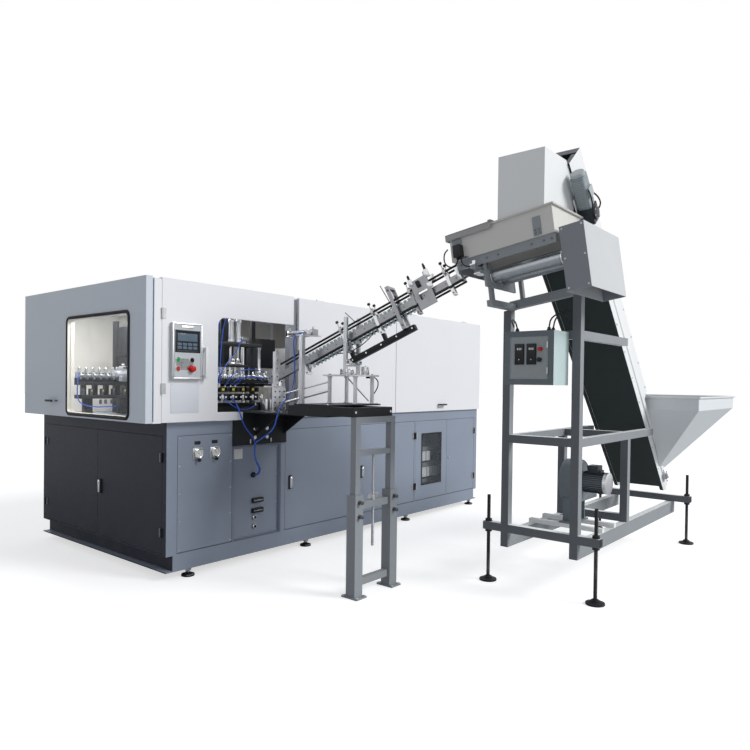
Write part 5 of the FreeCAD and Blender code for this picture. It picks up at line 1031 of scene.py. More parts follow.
# %% Black frame and guide columns in front of the station
DECK = 1097
piece("station_front_frame", black_coat, *plates([
    ((436, 90, DECK), (472, 126, 2036), "z"), ((1010, 90, DECK), (1040, 126, 1420), "z"),
    ((438, 84, 1634), (880, 132, 1662), "x"), ((438, 84, 1476), (760, 120, 1496), "x"),
    ((438, 126, 1330), (1038, 150, 1352), "x"), ((438, 126, 1180), (1038, 150, 1206), "x"),
    ((850, 170, DECK), (886, 200, 2036), "z"), ((500, 86, 1497), (528, 112, 2036), "z"),
    ((440, 262, 1490), (745, 268, 2030), "y"), ((738, 96, 1352), (760, 122, 1640), "z"),
    ((438, 130, 1100), (1038, 140, 1182), "y"), ((880, 240, 1480), (1150, 262, 1720), "y", 6),
], edge=1.5))
SHORT_COLUMN = [(8, 0), (11, 4), (11, 18), (8, 22), (8, 130)]
TALL_COLUMN = [(12, 0), (16, 6), (16, 22), (12, 28), (12, 190), (16, 196), (16, 220)]
piece("guide_columns", bright_steel,
      *spun(SHORT_COLUMN, every((505, 548, 592, 640, 700), 105, 1352), "z", 16),
      turned(TALL_COLUMN, (868, 104, 1425)), turned([(9, 0), (9, 560)], (925, 250, 1460), "z", 16),
      *plates([((586, 92, 1500), (597, 118, 1632), "z", 3),
               ((686, 92, 1500), (697, 118, 1632), "z", 3),
               ((586, 92, 1496), (697, 118, 1510), "x", 3)], edge=1.5))
CYLINDER = [(20, 0), (24, 4), (24, 20), (19, 22), (19, 146), (24, 148), (24, 170), (20, 174)]
piece("stretch_cylinders", aluminium, *spun(CYLINDER, every((602, 668), 108, 1664)),
      *[rod_along([(x, 108, 1530), (x, 108, 1664)], 5, 12) for x in (602, 668)])
piece("cylinder_clevises", bright_steel,
      *plates([((x - 14, 94, 1512), (x + 14, 122, 1540)) for x in (618, 660)], "z", 5))

# %% Valve blocks, perforated plate and thin tubes
piece("valve_blocks", black_coat,
      *plates([((x, 60, 1226), (x + 38, 124, 1276)) for x in range(470, 793, 46)], edge=1.5))
piece("valve_spools", bright_steel,
      *plates([((x, 50, 1216), (x + 18, 60, 1268)) for x in range(482, 851, 92)], "z", 3, 1.5),
      *spun([(7, 0), (9, -2), (9, -12), (5, -15)], every(range(472, 841, 46), 60, 1250), "y", 12))
front_spots = every(range(470, 903, 54), 112, 1384)
piece("front_grippers", bright_steel, *[repeated(form, front_spots) for form in (
    plate((0, -26, 0), (40, 26, 34), "z", 6, 3),
    turned([(8, 0), (11, -3), (11, -14), (7, -17), (7, -28)], (20, -26, 18), "y", 14),
    turned([(9, 34), (12, 37), (12, 44), (7, 46), (10, 49), (7, 52), (10, 55), (5, 60)],
           (20, -4, 0), "z", 12))])
piece("front_gripper_rail", black_coat, plate((466, 84, 1354), (950, 140, 1384), "x"))
piece("valve_coils", black_plastic,
      *plates([((x, 46, 1290), (x + 26, 100, 1326)) for x in range(476, 799, 46)], edge=1.5))
piece("valve_tags", yellow_plastic,
      *plates([((x, 44.6, 1300), (x + 22, 46.4, 1318)) for x in range(478, 755, 92)], "y", 2, 0.5))
piece("transfer_plates", aluminium, plate((960, 52, 1150), (1072, 60, 1392), "y", 6, 1.5),
      *plates([((x, 60, DECK), (x + 26, 120, 1230)) for x in (900, 950, 1000)], edge=1.5))
piece("plate_hole_bushes", black_rubber,
      repeated(turned([(7, 0.5), (7, -0.8), (4.6, -1), (0.01, -0.1)], axis="y", sides=14),
               every(range(978, 1057, 26), 51.6, range(1172, 1373, 40))))
TUBES = [
    [(480, 80, 1330), (470, 60, 1420), (520, 50, 1500), (600, 70, 1560), (690, 84, 1700)],
    [(530, 80, 1330), (540, 30, 1400), (600, 40, 1440), (760, 60, 1470), (960, 120, 1440)],
    [(580, 80, 1330), (600, 40, 1380), (700, 30, 1410), (860, 60, 1400), (1020, 110, 1400)],
    [(620, 80, 1330), (660, 50, 1390), (760, 40, 1420), (900, 90, 1370), (1046, 130, 1360)],
    [(500, 60, 1250), (560, 20, 1180), (680, 30, 1150), (780, 70, 1170), (850, 120, 1190)],
    [(545, 108, 1840), (520, 60, 1900), (470, 60, 1860), (450, 70, 1700), (452, 84, 1500)],
    [(615, 108, 1840), (600, 50, 1930), (520, 50, 1880), (480, 60, 1700), (476, 76, 1340)],
]
piece("air_tubes", hose_blue, *wires(TUBES, 4))
piece("tube_fittings", bright_steel,
      repeated(turned([(6, -9), (8, -7), (8, 4), (5, 8), (5, 12)], sides=10),
               [point for points in TUBES for point in (points[0], points[-1])]))

# %% Grippers on the transfer beam, and sleeves of the stretch rods
on_beam = partial(piece, body="gripper_beam_body")
BEAM_Y, BEAM_Z = 580, 1444
gripper_spots = every(range(-20, 969, 76), BEAM_Y, BEAM_Z)
ARM_TIP = [(0.01, -3), (7, -3), (8, 0), (8, 16), (6, 20), (0.01, 20)]
SPRING = [(6, -18), (8, -14), (6, -10), (8, -6), (6, -2), (8, 2), (6, 6), (8, 10), (6, 14)]
on_beam("gripper_blocks", bright_steel, *[repeated(form, gripper_spots) for form in (
    plate((4, -30, 1), (40, 34, 26), "z", 6, 3), *spun(ARM_TIP, every((8, 36), 118, 0), "z", 12))])
on_beam("gripper_springs", zinc, repeated(turned(SPRING, (22, 0, 34), "y", 10), gripper_spots))
on_beam("gripper_screws", black_coat,
        screws(7, 5, "-y", [(x + dx, y - 30, z + 13) for x, y, z in gripper_spots
                            for dx in (13, 31)]))
on_beam("beam_end_blocks", aluminium, plate((-60, 540, 1404), (60, 564, 1428), "x", 6, 3))
piece("rod_sleeves", bright_steel,
      *spun([(11, 1555), (14, 1558), (14, 1584), (11, 1589)], every(range(546, 775, 76), 750, 0),
            "z", 20), body="stretch_head_body")
print("inside:", len(TUBES), "thin tubes,", len(gripper_spots), "grippers")

# %% The far line, seen through the end window
FAR_Y = 1088
far_spots = every(range(-100, 272, 53), FAR_Y, 1372)
piece("far_grippers", zinc, *[repeated(form, far_spots) for form in (
    plate((0, -34, 0), (36, 30, 52), "z", 7, 3),
    turned([(9, 0), (12, -3), (12, -16), (8, -19), (8, -30), (10, -32), (10, -44), (6, -46)],
           (18, -34, 28), "y", 16),
    turned([(9, 52), (13, 55), (13, 62), (8, 64), (8, 66), (11, 68), (8, 71), (11, 74), (8, 77),
            (11, 80), (8, 83), (11, 86), (6, 92)], (18, -6, 0), "z", 14))])
piece("far_end_block", zinc, plate((196, FAR_Y - 84, 1356), (318, FAR_Y - 42, 1470), "y", 8, 3),
      *spun([(16, 0), (18, -3), (18, -12), (12, -14), (0.01, -14)],
            every((226, 288), FAR_Y - 84, (1388, 1440)), "y", 20), slot="aluminium")
piece("far_gripper_screws", black_plastic,
      screws(6, 4, "-y", [(x + dx, y - 34, z + dz) for x, y, z in far_spots for dx in (5, 31)
                          for dz in (8, 44)]))
piece("far_rail", black_coat, *plates([
    ((-104, FAR_Y - 30, 1352), (326, FAR_Y + 34, 1381)),
    ((-104, FAR_Y - 66, 1326), (326, FAR_Y + 44, 1352))], "x"))
piece("far_line_legs", black_coat, *plates([
    *[((x, FAR_Y - 28, 1250), (x + 26, FAR_Y + 28, 1326)) for x in (-60, 30, 120, 210, 292)],
    ((-96, FAR_Y - 74, 1222), (326, FAR_Y + 60, 1250), "x"),
    ((-40, FAR_Y - 40, DECK), (10, FAR_Y + 40, 1222)),
    ((240, FAR_Y - 40, DECK), (300, FAR_Y + 40, 1222)),
    ((298, 1236, DECK), (324, 1306, 1856), "z", 8), ((302, 1040, 1130), (320, 1236, 1806), "x"),
    ((296, 1030, 1560), (324, 1240, 1580), "y")]))
piece("far_line_valves", oiled_steel,
      *plates([((x, FAR_Y - 70, 1252), (x + 22, FAR_Y - 34, 1300))
               for x in (-86, -26, 64, 154, 244)]),
      *spun([(8, 0), (10, 3), (10, 30), (7, 34), (0.01, 36)],
            every((60, 100, 150), FAR_Y - 62, 1180), "z", 14), slot="steel")
piece("far_line_caps", yellow_plastic,
      *spun([(5, 0), (6, -2), (6, -7), (0.01, -8)], every((-15, 75, 255), FAR_Y - 70, 1284),
            "y", 12))
piece("far_line_tube", hose_blue, *wires([[
    (-100, FAR_Y - 40, 1410), (-118, FAR_Y - 60, 1370), (-122, FAR_Y - 60, 1270),
    (-112, FAR_Y - 60, 1200), (-60, FAR_Y - 66, 1168), (40, FAR_Y - 70, 1156),
    (180, FAR_Y - 70, 1160)]], 4.5))

# %% [markdown]
# ## Preforms on the rail
#
# A preform is an injection-moulded test tube with the finished neck of a bottle. Its outline is
# one profile: thread, support ring, straight body and round end. The outline is spun once and set
# at each pitch of the rail, with the wall left open inside so that the mouth shows its depth.

# %% Preforms
PREFORM = [(8.4, 6), (8.6, 43.2), (11.6, 43.3), (12.2, 41.6), (13.1, 40.4), (13.1, 39), (12, 38),
           (13.1, 36), (13.1, 34.6), (12, 33.4), (12, 31), (14.6, 30.4), (14.6, 28.8), (12, 28.2),
           (12, 26), (16.4, 25.6), (16.4, 23.4), (12, 23), (12, -48), (11, -58), (8.4, -65),
           (4.4, -69), (0.01, -70)]
preform_spots = every(0, range(-300, -1287, -34), 0)
on_rail = partial(piece, group=RAIL)
tubes = on_rail("moulded_preforms", preform_clear,
                repeated(turned(PREFORM, sides=16), preform_spots), crease=50)
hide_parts("preforms")
NECK_RING = [(12.1, 25.5), (16.2, 25.4), (16.7, 25.2), (16.7, 23.9), (16.2, 23.6), (12.1, 23.5)]
milky = plastic("neck_ring_plastic", tone(214, 228, 230), 0.3)
on_rail("neck_rings", milky, repeated(turned(NECK_RING, sides=16), preform_spots))

# %% [markdown]
# ## Rail fittings
#
# The rail is a sheet-metal slide with bolts at every frame. Four rods keep the necks in line, and
# slotted brackets with knobs set their spacing. A black beam stiffens the upper half from below.

# %% Bolts, knobs and beam
FRAMES = (-340, -728, -1010, -1320, -1600)
GUARDS = [(x, y) for y in FRAMES[1:] for x in (-44, 44)]
BOTH = (("-x", -1), ("x", 1))
on_rail("rail_bolts", oiled_steel,
        *[bolts(6, 5, way, every(31 * side, FRAMES, (92, 50, -84))) for way, side in BOTH],
        *[bolts(4.5, 3.5, way, every(23 * side, range(-60, -1657, -84), 0)) for way, side in BOTH])
on_rail("guard_clamps", zinc, *[form for x, y in GUARDS for form in (
    plate((x - 8, y - 10, 58), (x + 8, y + 10, 86), "y", 4, 1.5),
    rod_along([(x, y, 86), (x, y, 128)], 4, 10))])
on_rail("guard_sleeves", black_coat, *[rod_along([(x, -1698, z), (x, last, z)], 8, 12)
                                       for x in (-38, 38) for z, last in ((72, -162), (-40, -402))])
knob = turned([(3, 0), (9, 2), (11, 5), (11, 15), (9, 18), (0.01, 18.5)], sides=20)
on_rail("guard_knobs", black_plastic, repeated(knob, [(x, y, 126) for x, y in GUARDS]))
on_rail("rail_beam", black_coat, *plates([
    ((-24, -1250, -182), (24, -700, -142), "y", 3, 1.5),
    ((-20, -1022, -146), (20, -998, -94), "z", 3, 1),
    ((-20, -740, -146), (20, -716, -94), "z", 3, 1)]))
on_rail("beam_bolts", bright_steel, *[
    bolts(7, 5, way, every(24 * side, (-1230, -1100, -970, -840, -720), -162))
    for way, side in BOTH[::-1]])
on_rail("adjusting_rods", oiled_steel, *[rod_along(path, 3.5, 8) for path in (
    [(-38, -1160, 60), (-64, -1150, 205)], [(40, -1160, 60), (66, -1130, 196)],
    [(-36, -860, 70), (-50, -820, 168)], [(36, -1420, 60), (52, -1440, 180)])])
on_rail("rail_wire", black_plastic, *wires([[
    (30, -1190, 120), (60, -1160, 90), (52, -1050, 20), (40, -900, -60), (34, -760, -90),
    (30, -640, -70), (28, -560, -30)]], 3.5))

# %% End brackets and sensors near the trough
on_rail("rail_end_blocks", bright_steel, *plates([
    ((-66, -1506, 96), (-42, -1474, 150), "z", 5), ((-58, -1496, 20), (-42, -1460, 60), "y"),
    ((-60, -1372, 96), (-42, -1340, 140), "z", 5), ((42, -1506, 80), (62, -1474, 132), "z", 5),
    ((-50, -1700, -30), (-24, -1672, 60)), ((24, -1700, -30), (50, -1672, 60))]))
on_rail("rail_sensors", black_plastic,
        turned([(9, 0), (9, 30), (7, 33), (7, 44), (4, 46)], (-54, -1490, 150), "z", 16),
        turned([(9, 0), (9, 26), (7, 29), (4, 34)], (-51, -1356, 140), "z", 16),
        plate((-72, -1420, 60), (-56, -1392, 104)))
on_rail("portal_bolts", oiled_steel,
        *[bolts(8, 7, way, every(63 * side, -1187, (150, -120))) for way, side in BOTH])

# %% [markdown]
# ## Stop cylinder, brackets and table
#
# A small air cylinder on a bracket stops and lets go one preform at a time. It has the usual
# square end blocks, four tie rods and push-in fittings. The table plates stand on square columns
# with a screw in each end.

# %% Cylinder and brackets
STOP_X, STOP_Z, ROD_OFF = 980, 1742, 19
piece("cylinder_tie_rods", bright_steel,
      *[rod_along([(STOP_X + dx, -398, STOP_Z + dz), (STOP_X + dx, -112, STOP_Z + dz)], 2.5, 8)
        for dx in (-ROD_OFF, ROD_OFF) for dz in (-ROD_OFF, ROD_OFF)])
piece("cylinder_fittings", zinc,
      *spun([(7, 0), (8, 2), (8, 10), (5.5, 13), (5.5, 20), (4, 21)],
            every(STOP_X, (-386, -126), STOP_Z + 26), "z", 14))
piece("cylinder_blocks", bright_steel, *plates([
    ((1012, -330, 1716), (1040, -250, 1760)), ((1012, -230, 1722), (1032, -180, 1754)),
    ((928, -392, 1722), (949, -340, 1762))], "y"),
      turned([(9, -60), (11, -57), (11, 20), (9, 23)], (1052, -300, STOP_Z), "y", 18),
      turned([(6, -40), (6, 90)], (1052, -200, STOP_Z), "y", 14))
piece("cylinder_silencers", black_plastic,
      *spun([(5, 0), (6, 2), (6, 12), (3, 14)], every(1026, (-310, -270), 1760), "z", 12))
piece("bracket_plate", aluminium, plate((642, -336, 1162), (758, -330.5, 1326), "y", 5, 1.5),
      *plates([((690, -302, z), (722, -298, z + 36)) for z in range(1336, 1517, 60)], "y", 4, 1))
piece("bracket_plate_bolts", oiled_steel,
      screws(6.5, 4, "-y", every((658, 700, 742), -336, (1180, 1220, 1260, 1300)), 14),
      screws(5, 3, "-y", every(705, -302, range(1348, 1529, 60)), 14))

# %% Table and its struts
TABLE_X, TABLE_Y, TABLE_TOP, BRIDGE_TOP = (930, 1110), (-865, -615), 1427, 1220
piece("table_blocks", bright_steel, *plates([
    ((1010, -700, TABLE_TOP), (1060, -640, 1470)), ((905, -840, TABLE_TOP), (950, -790, 1462)),
    ((1062, -850, TABLE_TOP), (1098, -800, 1486))]))
piece("table_screws", oiled_steel, bolts(8, 6, "z", every(TABLE_X, TABLE_Y, TABLE_TOP)),
      bolts(6, 5, "z", [(1035, -670, 1470), (927, -815, 1462), (1080, -825, 1486)]))
piece("column_collars", aluminium, repeated(plate((-14, -14, 0), (14, 14, 8), "z", 3, 1),
                                            every(TABLE_X, TABLE_Y, (BRIDGE_TOP, 1407))))
piece("post_cross_plates", bright_steel,
      *plates([((958, -752, z), (1125, -743.5, z + 40)) for z in (1500, 1650)], "x", 3, 1))
piece("post_bolts", oiled_steel, bolts(8, 6, "-y", every((973, 1110), -752, (1520, 1670))))
piece("table_struts", aluminium, rod_along([(742, -322, 1216), (930, -612, 1312)], 9, 12),
      rod_along([(742, -322, 1280), (930, -612, 1376)], 6, 12),
      rod_along([(1100, -640, 1400), (1100, -840, 1240)], 5, 10))
piece("deck_bolts", bright_steel, bolts(10, 7, "z", every((640, 1140), (-885, -595), BRIDGE_TOP)))
piece("beam_end_bolts", bright_steel, bolts(10, 6, "-y", every((620, 970), -1150, 1180)))

# %% [markdown]
# ## Height stand
#
# Two square tubes slide in two larger ones. A screw with a wing nut between them takes the load,
# and clamp screws with levers lock the sleeves. The feet are plates bolted to the floor.

# %% Stand fittings
piece("stand_screw_thread", zinc, turned(thread(9.3, 302, 898, 5), (804, -1147, 0), "z", 16),
      body="stand_inner_frame_body")
foot_bolts = every((593, 665, 943, 1015), (-1203, -1091), 10)
piece("stand_foot_bolts", zinc, bolts(9, 7, "z", foot_bolts),
      repeated(turned([(13, 0.2), (13, 2), (9, 2.2)], sides=20), foot_bolts))
piece("stand_clamp_screws", oiled_steel,
      repeated(turned([(15, 0), (15, -3), (9, -4), (9, -16), (12, -19), (12, -28), (9, -31)],
                      axis="y", sides=20), every((629, 979), -1184.5, (520, 610))))
print("infeed dressed:", len(preform_spots), "preforms")

# %% [markdown]
# ## Sorting trough
#
# The trough is folded sheet with a hemmed rim. A lid covers the lower half, its edges folded down
# all round. Under the trough two rollers turn towards each other, so that the preforms drop in
# between and hang by their necks; they run in bolted bearings.

# %% Rim, lid and plates
def ring_of_rods(corners, radius, slant, sides):
    """Rods from corner to corner, all the way round, with a ball at each corner."""
    ball = turned([(0.01, -radius), (slant, -slant), (radius, 0), (slant, slant), (0.01, radius)],
                  sides=sides)
    ends = zip(corners, corners[1:] + corners[:1])
    return [*[rod_along(pair, radius, sides) for pair in ends], repeated(ball, corners)]


on_trough = partial(piece, group=TROUGH)
on_trough("trough_rim", trough_coat,
          *ring_of_rods([(-11, -731, 168), (431, -731, 168), (431, 11, 168), (-11, 11, 168)],
                        4.5, 3.2, 10))
lid_coat = paint("lid_coat", tone(170, 171, 170), 0.4)
on_trough("trough_lid", lid_coat, *plates([
    ((-20, -322, 140), (-16.5, 20, 182), "z", 1.5, 1),
    ((436.5, -322, 140), (440, 20, 182), "z", 1.5, 1),
    ((-20, 17, 140), (440, 20.5, 182), "z", 1.5, 1),
    ((-20, -322, 176), (440, 20, 182), "z", 3, 1.5),
    ((-20, -322, 182), (440, -300, 192), "z", 3, 1.5)]))
on_trough("trough_plates", feeder_grey, *plates([
    ((-7, -640, 6), (-0.5, -590, 120)), ((-7, -130, 2), (-0.5, -80, 12)),
    ((-7, -90, 96), (-0.5, -20, 140))], "x", 3, 1))
on_trough("trough_bolts", oiled_steel,
          bolts(7, 6, "-x", [*every(-7, (-628, -602), (20, 40)), (-7, -110, 7)]),
          bolts(7, 6, "-x", every(12, (-690, -640, -560, -330, -250, -60), -30)))

# %% Shaker box, cables and roller bearings
on_trough("shaker_box_cover", black_plastic, plate((-46, -99, 11), (-38, -41, 94), "x", 5),
          *spun([(8, 0), (10, -2), (10, -12), (7, -16)], every(-22, (-60, -82), 15), "z", 14),
          *wires([[(-22, -60, 2), (-30, -50, -30), (-60, -20, -50), (-64, 20, -10),
                   (-40, 30, 60), (-10, 16, 90)],
                  [(-22, -82, 2), (-34, -96, -40), (-50, -140, -70), (-20, -190, -80),
                   (20, -214, -60)]], 4.5))
ROLLER_END = [(41, 0.5), (43.4, 3), (43.4, 9)]
for name, x in (("roller_left", 109), ("roller_right", 221)):
    on_trough(f"{name}_ends", bright_steel,
              turned([(24, 0), *ROLLER_END, (42, 12)], (x, -235, -135), "y", 40),
              turned([(12, 0), (12, 14), (10, 16), (0.01, 16)], (x, -235, -135), "y", 20),
              turned([(42, -12), *[(r, -h) for r, h in ROLLER_END[::-1]], (24, 0)],
                     (x, -700, -135), "y", 40), body=f"{name}_body")
on_trough("roller_bearing_bolts", oiled_steel,
          bolts(7, 6, "y", every((73, 145, 185, 257), -211, (-171, -99))))
on_trough("outlet_blocks", bright_steel, plate((-30, -214, -124), (62, -166, -116), "z", 5),
          plate((-66, -206, -72), (66, -166, -62)),
          turned([(10, 0), (14, 3), (14, 20), (8, 24)], (-40, -186, -62), "z", 18),
          turned([(10, 0), (14, 3), (14, 16), (8, 20)], (40, -186, -62), "z", 18))

# %% [markdown]
# ## Elevator
#
# The belt climbs between two channel sides. A worm gearbox with a small motor drives the head
# shaft from the near side. The bearings are flanged castings with bolts, and the tail pair can be
# shifted to tighten the belt. The preforms are lifted by cross cleats.

# %% Gearbox and motor
def circle(middle, radius, degrees):
    """Places round a middle, in the plane of x and z, one for each angle."""
    x, y, z = middle
    return [(x + radius * math.cos(a), y, z + radius * math.sin(a)) for a in np.radians(degrees)]


on_elevator = partial(piece, group=ELEVATOR)
motor_light = paint("motor_light_coat", tone(176, 184, 187), 0.38)
on_elevator("drive_motor_fins", motor_light,
            *plates([((x, -99, -209), (x + 3, -9, -108)) for x in range(92, 262, 11)], "x", 19, 1))
on_elevator("drive_terminal_box", motor_light,
            plate((150, -112, -190), (220, -96, -126), "y", 6, 3))
on_elevator("drive_fan_cowl", motor_light,
            turned([(40, 0), (46, -3), (47, -20), (42, -26), (0.01, -27)], (72, -54, -158.5), "x",
                   32))
on_elevator("gearbox_cover", motor_dark,
            turned([(42, 0), (44, -3), (44, -9), (30, -12), (0.01, -12)], (335, -100, -157), "y",
                   32), plate((283, -104, -206), (295, -6, -108), "x", 8))
on_elevator("gearbox_bolts", zinc,
            bolts(5, 4, "-y", circle((335, -109, -157), 36, range(30, 390, 60))),
            bolts(8, 6, "-y", every((215, 400), -6, (-200, -85))))
on_elevator("drive_leads", black_plastic, *wires([
    [(206, -104, -130), (260, -120, -100), (330, -112, -70), (380, -60, -80), (402, -8, -90)],
    [(160, -104, -186), (190, -124, -214), (280, -118, -222), (420, -60, -180),
     (470, -8, -110)]], 5))

# %% Bearings, bolts and screws
FLANGES = (116, 184, 2966, 3034)
on_elevator("elevator_bearing_bolts", oiled_steel,
            *[bolts(7, 6, way, every(FLANGES, y, (-50.5, -10.5))) for way, y in (("-y", -28),
                                                                                 ("y", 458))])
on_elevator("elevator_bearing_caps", motor_coat,
            *spun([(24, 0), (24, -5), (18, -9), (0.01, -10)], every((150, 3000), -28, -30.5),
                  "y", 28),
            *spun([(24, 0), (24, 5), (18, 9), (0.01, 10)], every((150, 3000), 458, -30.5),
                  "y", 28))
on_elevator("elevator_side_screws", zinc,
            *[screws(7, 4, way, every(range(500, 3000, 260), y, (-90, 90)))
              for way, y in (("-y", 0), ("y", 430))])
on_trough("housing_screws", zinc, screws(6, 3.5, "-x", every(15, (-755, -875), (-345, -170, 5))))

# %% [markdown]
# ## Frame, feet and blower
#
# The frame is square tube, closed with plastic caps. It stands on four long threaded stems with
# cup pads, locked by a nut above and below each arm. The blower is a side-channel fan with a
# finned motor.

# %% Feet and caps
FEEDER_FEET = every((1527.5, 3602.5), (-2370, -1600), 0)
CUP = [(58, 0.4), (60.4, 3), (60.4, 8), (57, 12), (36, 17), (22, 22), (17, 30), (17, 34),
       (12.6, 36)]
stem = turned(thread(12.5, 30, 597, 5), sides=12)
lock_nuts = [turned([(20, z), (21.5, z + 1.5), (21.5, z + 14.5), (20, z + 16)], sides=6)
             for z in (344, 415)]
washers = [turned([(26, z), (26, z + 3)], sides=28) for z in (357, 415)]
piece("feeder_foot_threads", black_coat,
      *[repeated(form, FEEDER_FEET) for form in (stem, *lock_nuts, *washers)])
piece("feeder_foot_cups", black_rubber, repeated(turned(CUP, sides=40), FEEDER_FEET))
piece("tube_end_caps", black_plastic,
      *plates([((x + 3, y, 363), (x + 52, y + 4, 412)) for x in (1500, 3575)
               for y in (-2403, -1571)], "y", 5, 1))

# %% Blower
FAN_X, FAN_Z = 2050, 685
fin = plate((FAN_X - 1.4, -2236, 752), (FAN_X + 1.4, -2078, 761), "y", 1.3, 0.5)
piece("blower_motor_fins", motor_dark, *[turned_form(fin, "Y", degrees, (FAN_X, 0, FAN_Z))
                                         for degrees in range(0, 360, 12)])
piece("blower_fan_cowl", aluminium,
      turned([(71, 0), (76, 2), (77, 14), (76, 26), (71, 28)], (FAN_X, -2256, FAN_Z), "y", 40),
      slot="motor_grey")
piece("blower_terminal_box", motor_dark, plate((2005, -2190, 752), (2095, -2110, 806), "z", 8, 3))
piece("blower_seams", blower_coat,
      *spun([(146, 0.8), (150, -2), (153, 2), (153, 8), (150, 12), (146, 9.2)],
            every(FAN_X, (-2055, -1955), FAN_Z), "y", 56))
piece("blower_bolts", zinc,
      bolts(7, 6, "-y", circle((FAN_X, -2055, FAN_Z), 136, range(0, 360, 45))))

# %% Hopper rim
HOPPER_TOP = 1284
piece("hopper_lip", feeder_pale,
      *ring_of_rods([(3044, -2591, HOPPER_TOP), (4286, -2591, HOPPER_TOP),
                     (4286, -1729, HOPPER_TOP), (3044, -1729, HOPPER_TOP)], 8, 5.7, 12))

# %% [markdown]
# ## Control box
#
# A small wall box with its meters on the door. Two dark panel meters each have a row of small lit
# fields and a round lamp, and beside them sit a red push button and a turn knob with a raised grip.

# %% Box fittings
METERS = ((-2060.2, -1995.2), (-1977.2, -1912.2))
on_box_door = partial(piece, body="feeder_box_door_body")
on_box_door("box_meter_frames", black_plastic,
            *plates([((1281.5, y0 + 2, 1501), (1286, y1 - 2, 1626.5)) for y0, y1 in METERS],
                    "x", 4, 1.2))
lights = []
for middle in [(y0 + y1) / 2 for y0, y1 in METERS]:
    lights += plates([((1280.9, middle - 17 + k, 1590), (1281.9, middle - 9 + k, 1604))
                      for k in (0, 12, 24)], "x", 2, 0.3)
    lights.append(turned([(4, 0), (4, -1), (0.01, -1.6)], (1281.5, middle, 1530), "x", 14))
on_box_door("box_meter_lights", ivory_plastic, *lights)
button = piece("box_button_cap", red_plastic,
               turned([(12.8, 12), (12.8, -14), (11.6, -16), (0.01, -16.5)],
                      (1285, -2089.2, 1594.2), "x", 28), body="box_button_body")
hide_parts("box_button")
knob = piece("box_knob_grip", black_plastic,
             turned([(12.8, 12), (12.8, -4), (14.6, -5), (14.6, -12), (13, -14), (0.01, -14)],
                    (1285, -2085.2, 1528.2), "x", 28),
             plate((1267, -2089.2, 1516.2), (1273, -2081.2, 1540.2), "x", 3.5, 1),
             body="box_knob_body")
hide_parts("box_knob")
piece("box_glands", black_plastic,
      *spun([(11, 0), (13, 3), (13, 12), (10, 16), (10, 22), (7, 24)],
            [(1340, -2120, 1710), (1400, -2120, 1710), (1340, -1900, 1710)], "z", 16))
piece("box_wires", black_plastic, *wires([
    [(1340, -2120, 1732), (1340, -2130, 1790), (1400, -2170, 1830), (1470, -2195, 1800),
     (1499, -2190, 1760)],
    [(1400, -2120, 1732), (1410, -2130, 1800), (1460, -2180, 1850), (1499, -2200, 1830)],
    [(1340, -1900, 1732), (1330, -1890, 1780), (1380, -1830, 1800), (1499, -1790, 1760)]], 5))
print("feeder dressed")

# %% [markdown]
# ## Floor, lamps and world
#
# The photograph is a studio cut-out: white all round, with a soft key from the front right. The
# sides that face left are lit by the room alone. The floor is white to the camera and still takes
# the soft shadow under the machine. The world is white where it is seen, directly or in metal and
# glass, and a cool plain grey where it lights the sheets.

# %% Floor
FLOOR_HALF, FLOOR_MIDDLE, FLOOR_LEVEL = 60.0, (2, 1), -0.0005
FLOOR_GLOW = 0.62  # with the lamps' light, this makes the floor white to the camera


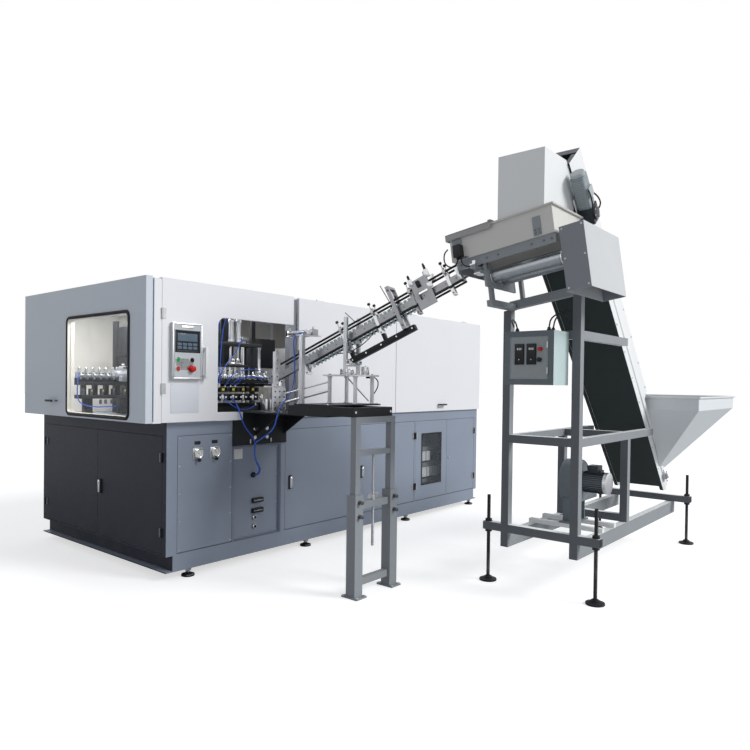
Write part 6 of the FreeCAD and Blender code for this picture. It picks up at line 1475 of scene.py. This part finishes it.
def white_floor():
    """One large quad a little under the feet: each corner is the middle plus or minus a half."""
    reach = np.array([(-1, -1), (1, -1), (1, 1), (-1, 1)]) * FLOOR_HALF
    corners = np.column_stack([reach + FLOOR_MIDDLE, np.full(4, FLOOR_LEVEL)])
    mesh = bpy.data.meshes.new("floor")
    mesh.from_pydata(corners.tolist(), [], [(0, 1, 2, 3)])
    floor = bpy.data.objects.new("floor", mesh)
    bpy.context.scene.collection.objects.link(floor)
    coat = Finish("floor_white", Roughness=0.9)
    tree = coat.material.node_tree
    grain = coat.noise(3, 3)
    coat.set(Base_Color=coat.blend(grain, (0.52, 0.52, 0.53), (0.56, 0.56, 0.57)))
    seen = coat.place.make("ShaderNodeLightPath", {}, {}, "Is Camera Ray")
    white, black = (1, 1, 1, 1), (0, 0, 0, 1)
    glow = coat.place.make("ShaderNodeEmission", {}, {"Color": white, "Strength": FLOOR_GLOW})
    dark = coat.place.make("ShaderNodeEmission", {}, {"Color": black, "Strength": 0.0})
    light = coat.place.make("ShaderNodeMixShader", {}, {0: seen, 1: dark, 2: glow})
    body = Wire(tree, coat.shader.outputs[0])
    both = coat.place.make("ShaderNodeAddShader", {}, {0: body, 1: light})
    tree.links.new(both.socket, tree.nodes["Material Output"].inputs["Surface"])
    mesh.materials.append(coat.material)


white_floor()
print("floor laid")

# %% World and lamps
world = bpy.data.worlds.new("studio")
world.use_nodes = True
bpy.context.scene.world = world
room = world.node_tree
plain = room.nodes["Background"]
plain.inputs["Color"].default_value = (0.385, 0.40, 0.42, 1)
plain.inputs["Strength"].default_value = 1.0
path = room.nodes.new("ShaderNodeLightPath")
start = Wire(room, path.outputs["Is Camera Ray"])
shown = (start + Wire(room, path.outputs["Is Glossy Ray"])
         + Wire(room, path.outputs["Is Transmission Ray"])).rise(0.0, 1.0)
white = start.make("ShaderNodeBackground", {}, {"Color": (1, 1, 1, 1), "Strength": 1.0})
mixed = start.make("ShaderNodeMixShader", {}, {0: shown, 1: Wire(room, plain.outputs[0]),
                                               2: white})
room.links.new(mixed.socket, room.nodes["World Output"].inputs["Surface"])


def lamp(name, kind, toward, place, **settings):
    """A lamp at a place that shines along a direction, both given as three numbers."""
    data = bpy.data.lights.new(name, kind)
    for key, value in settings.items():
        setattr(data, key, value)
    thing = bpy.data.objects.new(name, data)
    bpy.context.scene.collection.objects.link(thing)
    from_z = Matrix.Identity(3).col[2] * -1
    turn = from_z.rotation_difference(type(from_z)(toward))
    thing.matrix_world = Matrix.Translation(place) @ turn.to_matrix().to_4x4()


LAMP_HEIGHT = 1995
lamp("key", "SUN", (-0.35, 0.75, -0.55), (0, 0, 6), energy=2.5, angle=math.radians(24))
for name, x, y, watts, wide, deep in (("station_lamp", 620, 320, 9, 0.9, 0.3),
                                      ("end_lamp", 110, 950, 12, 0.3, 0.8),
                                      ("oven_lamp", 2400, 280, 4, 2.0, 0.3)):
    lamp(name, "AREA", (0, 0, -1), metres((x, y, LAMP_HEIGHT)), energy=watts, shape="RECTANGLE",
         size=wide, size_y=deep)
bpy.context.scene.view_settings.view_transform = "Standard"
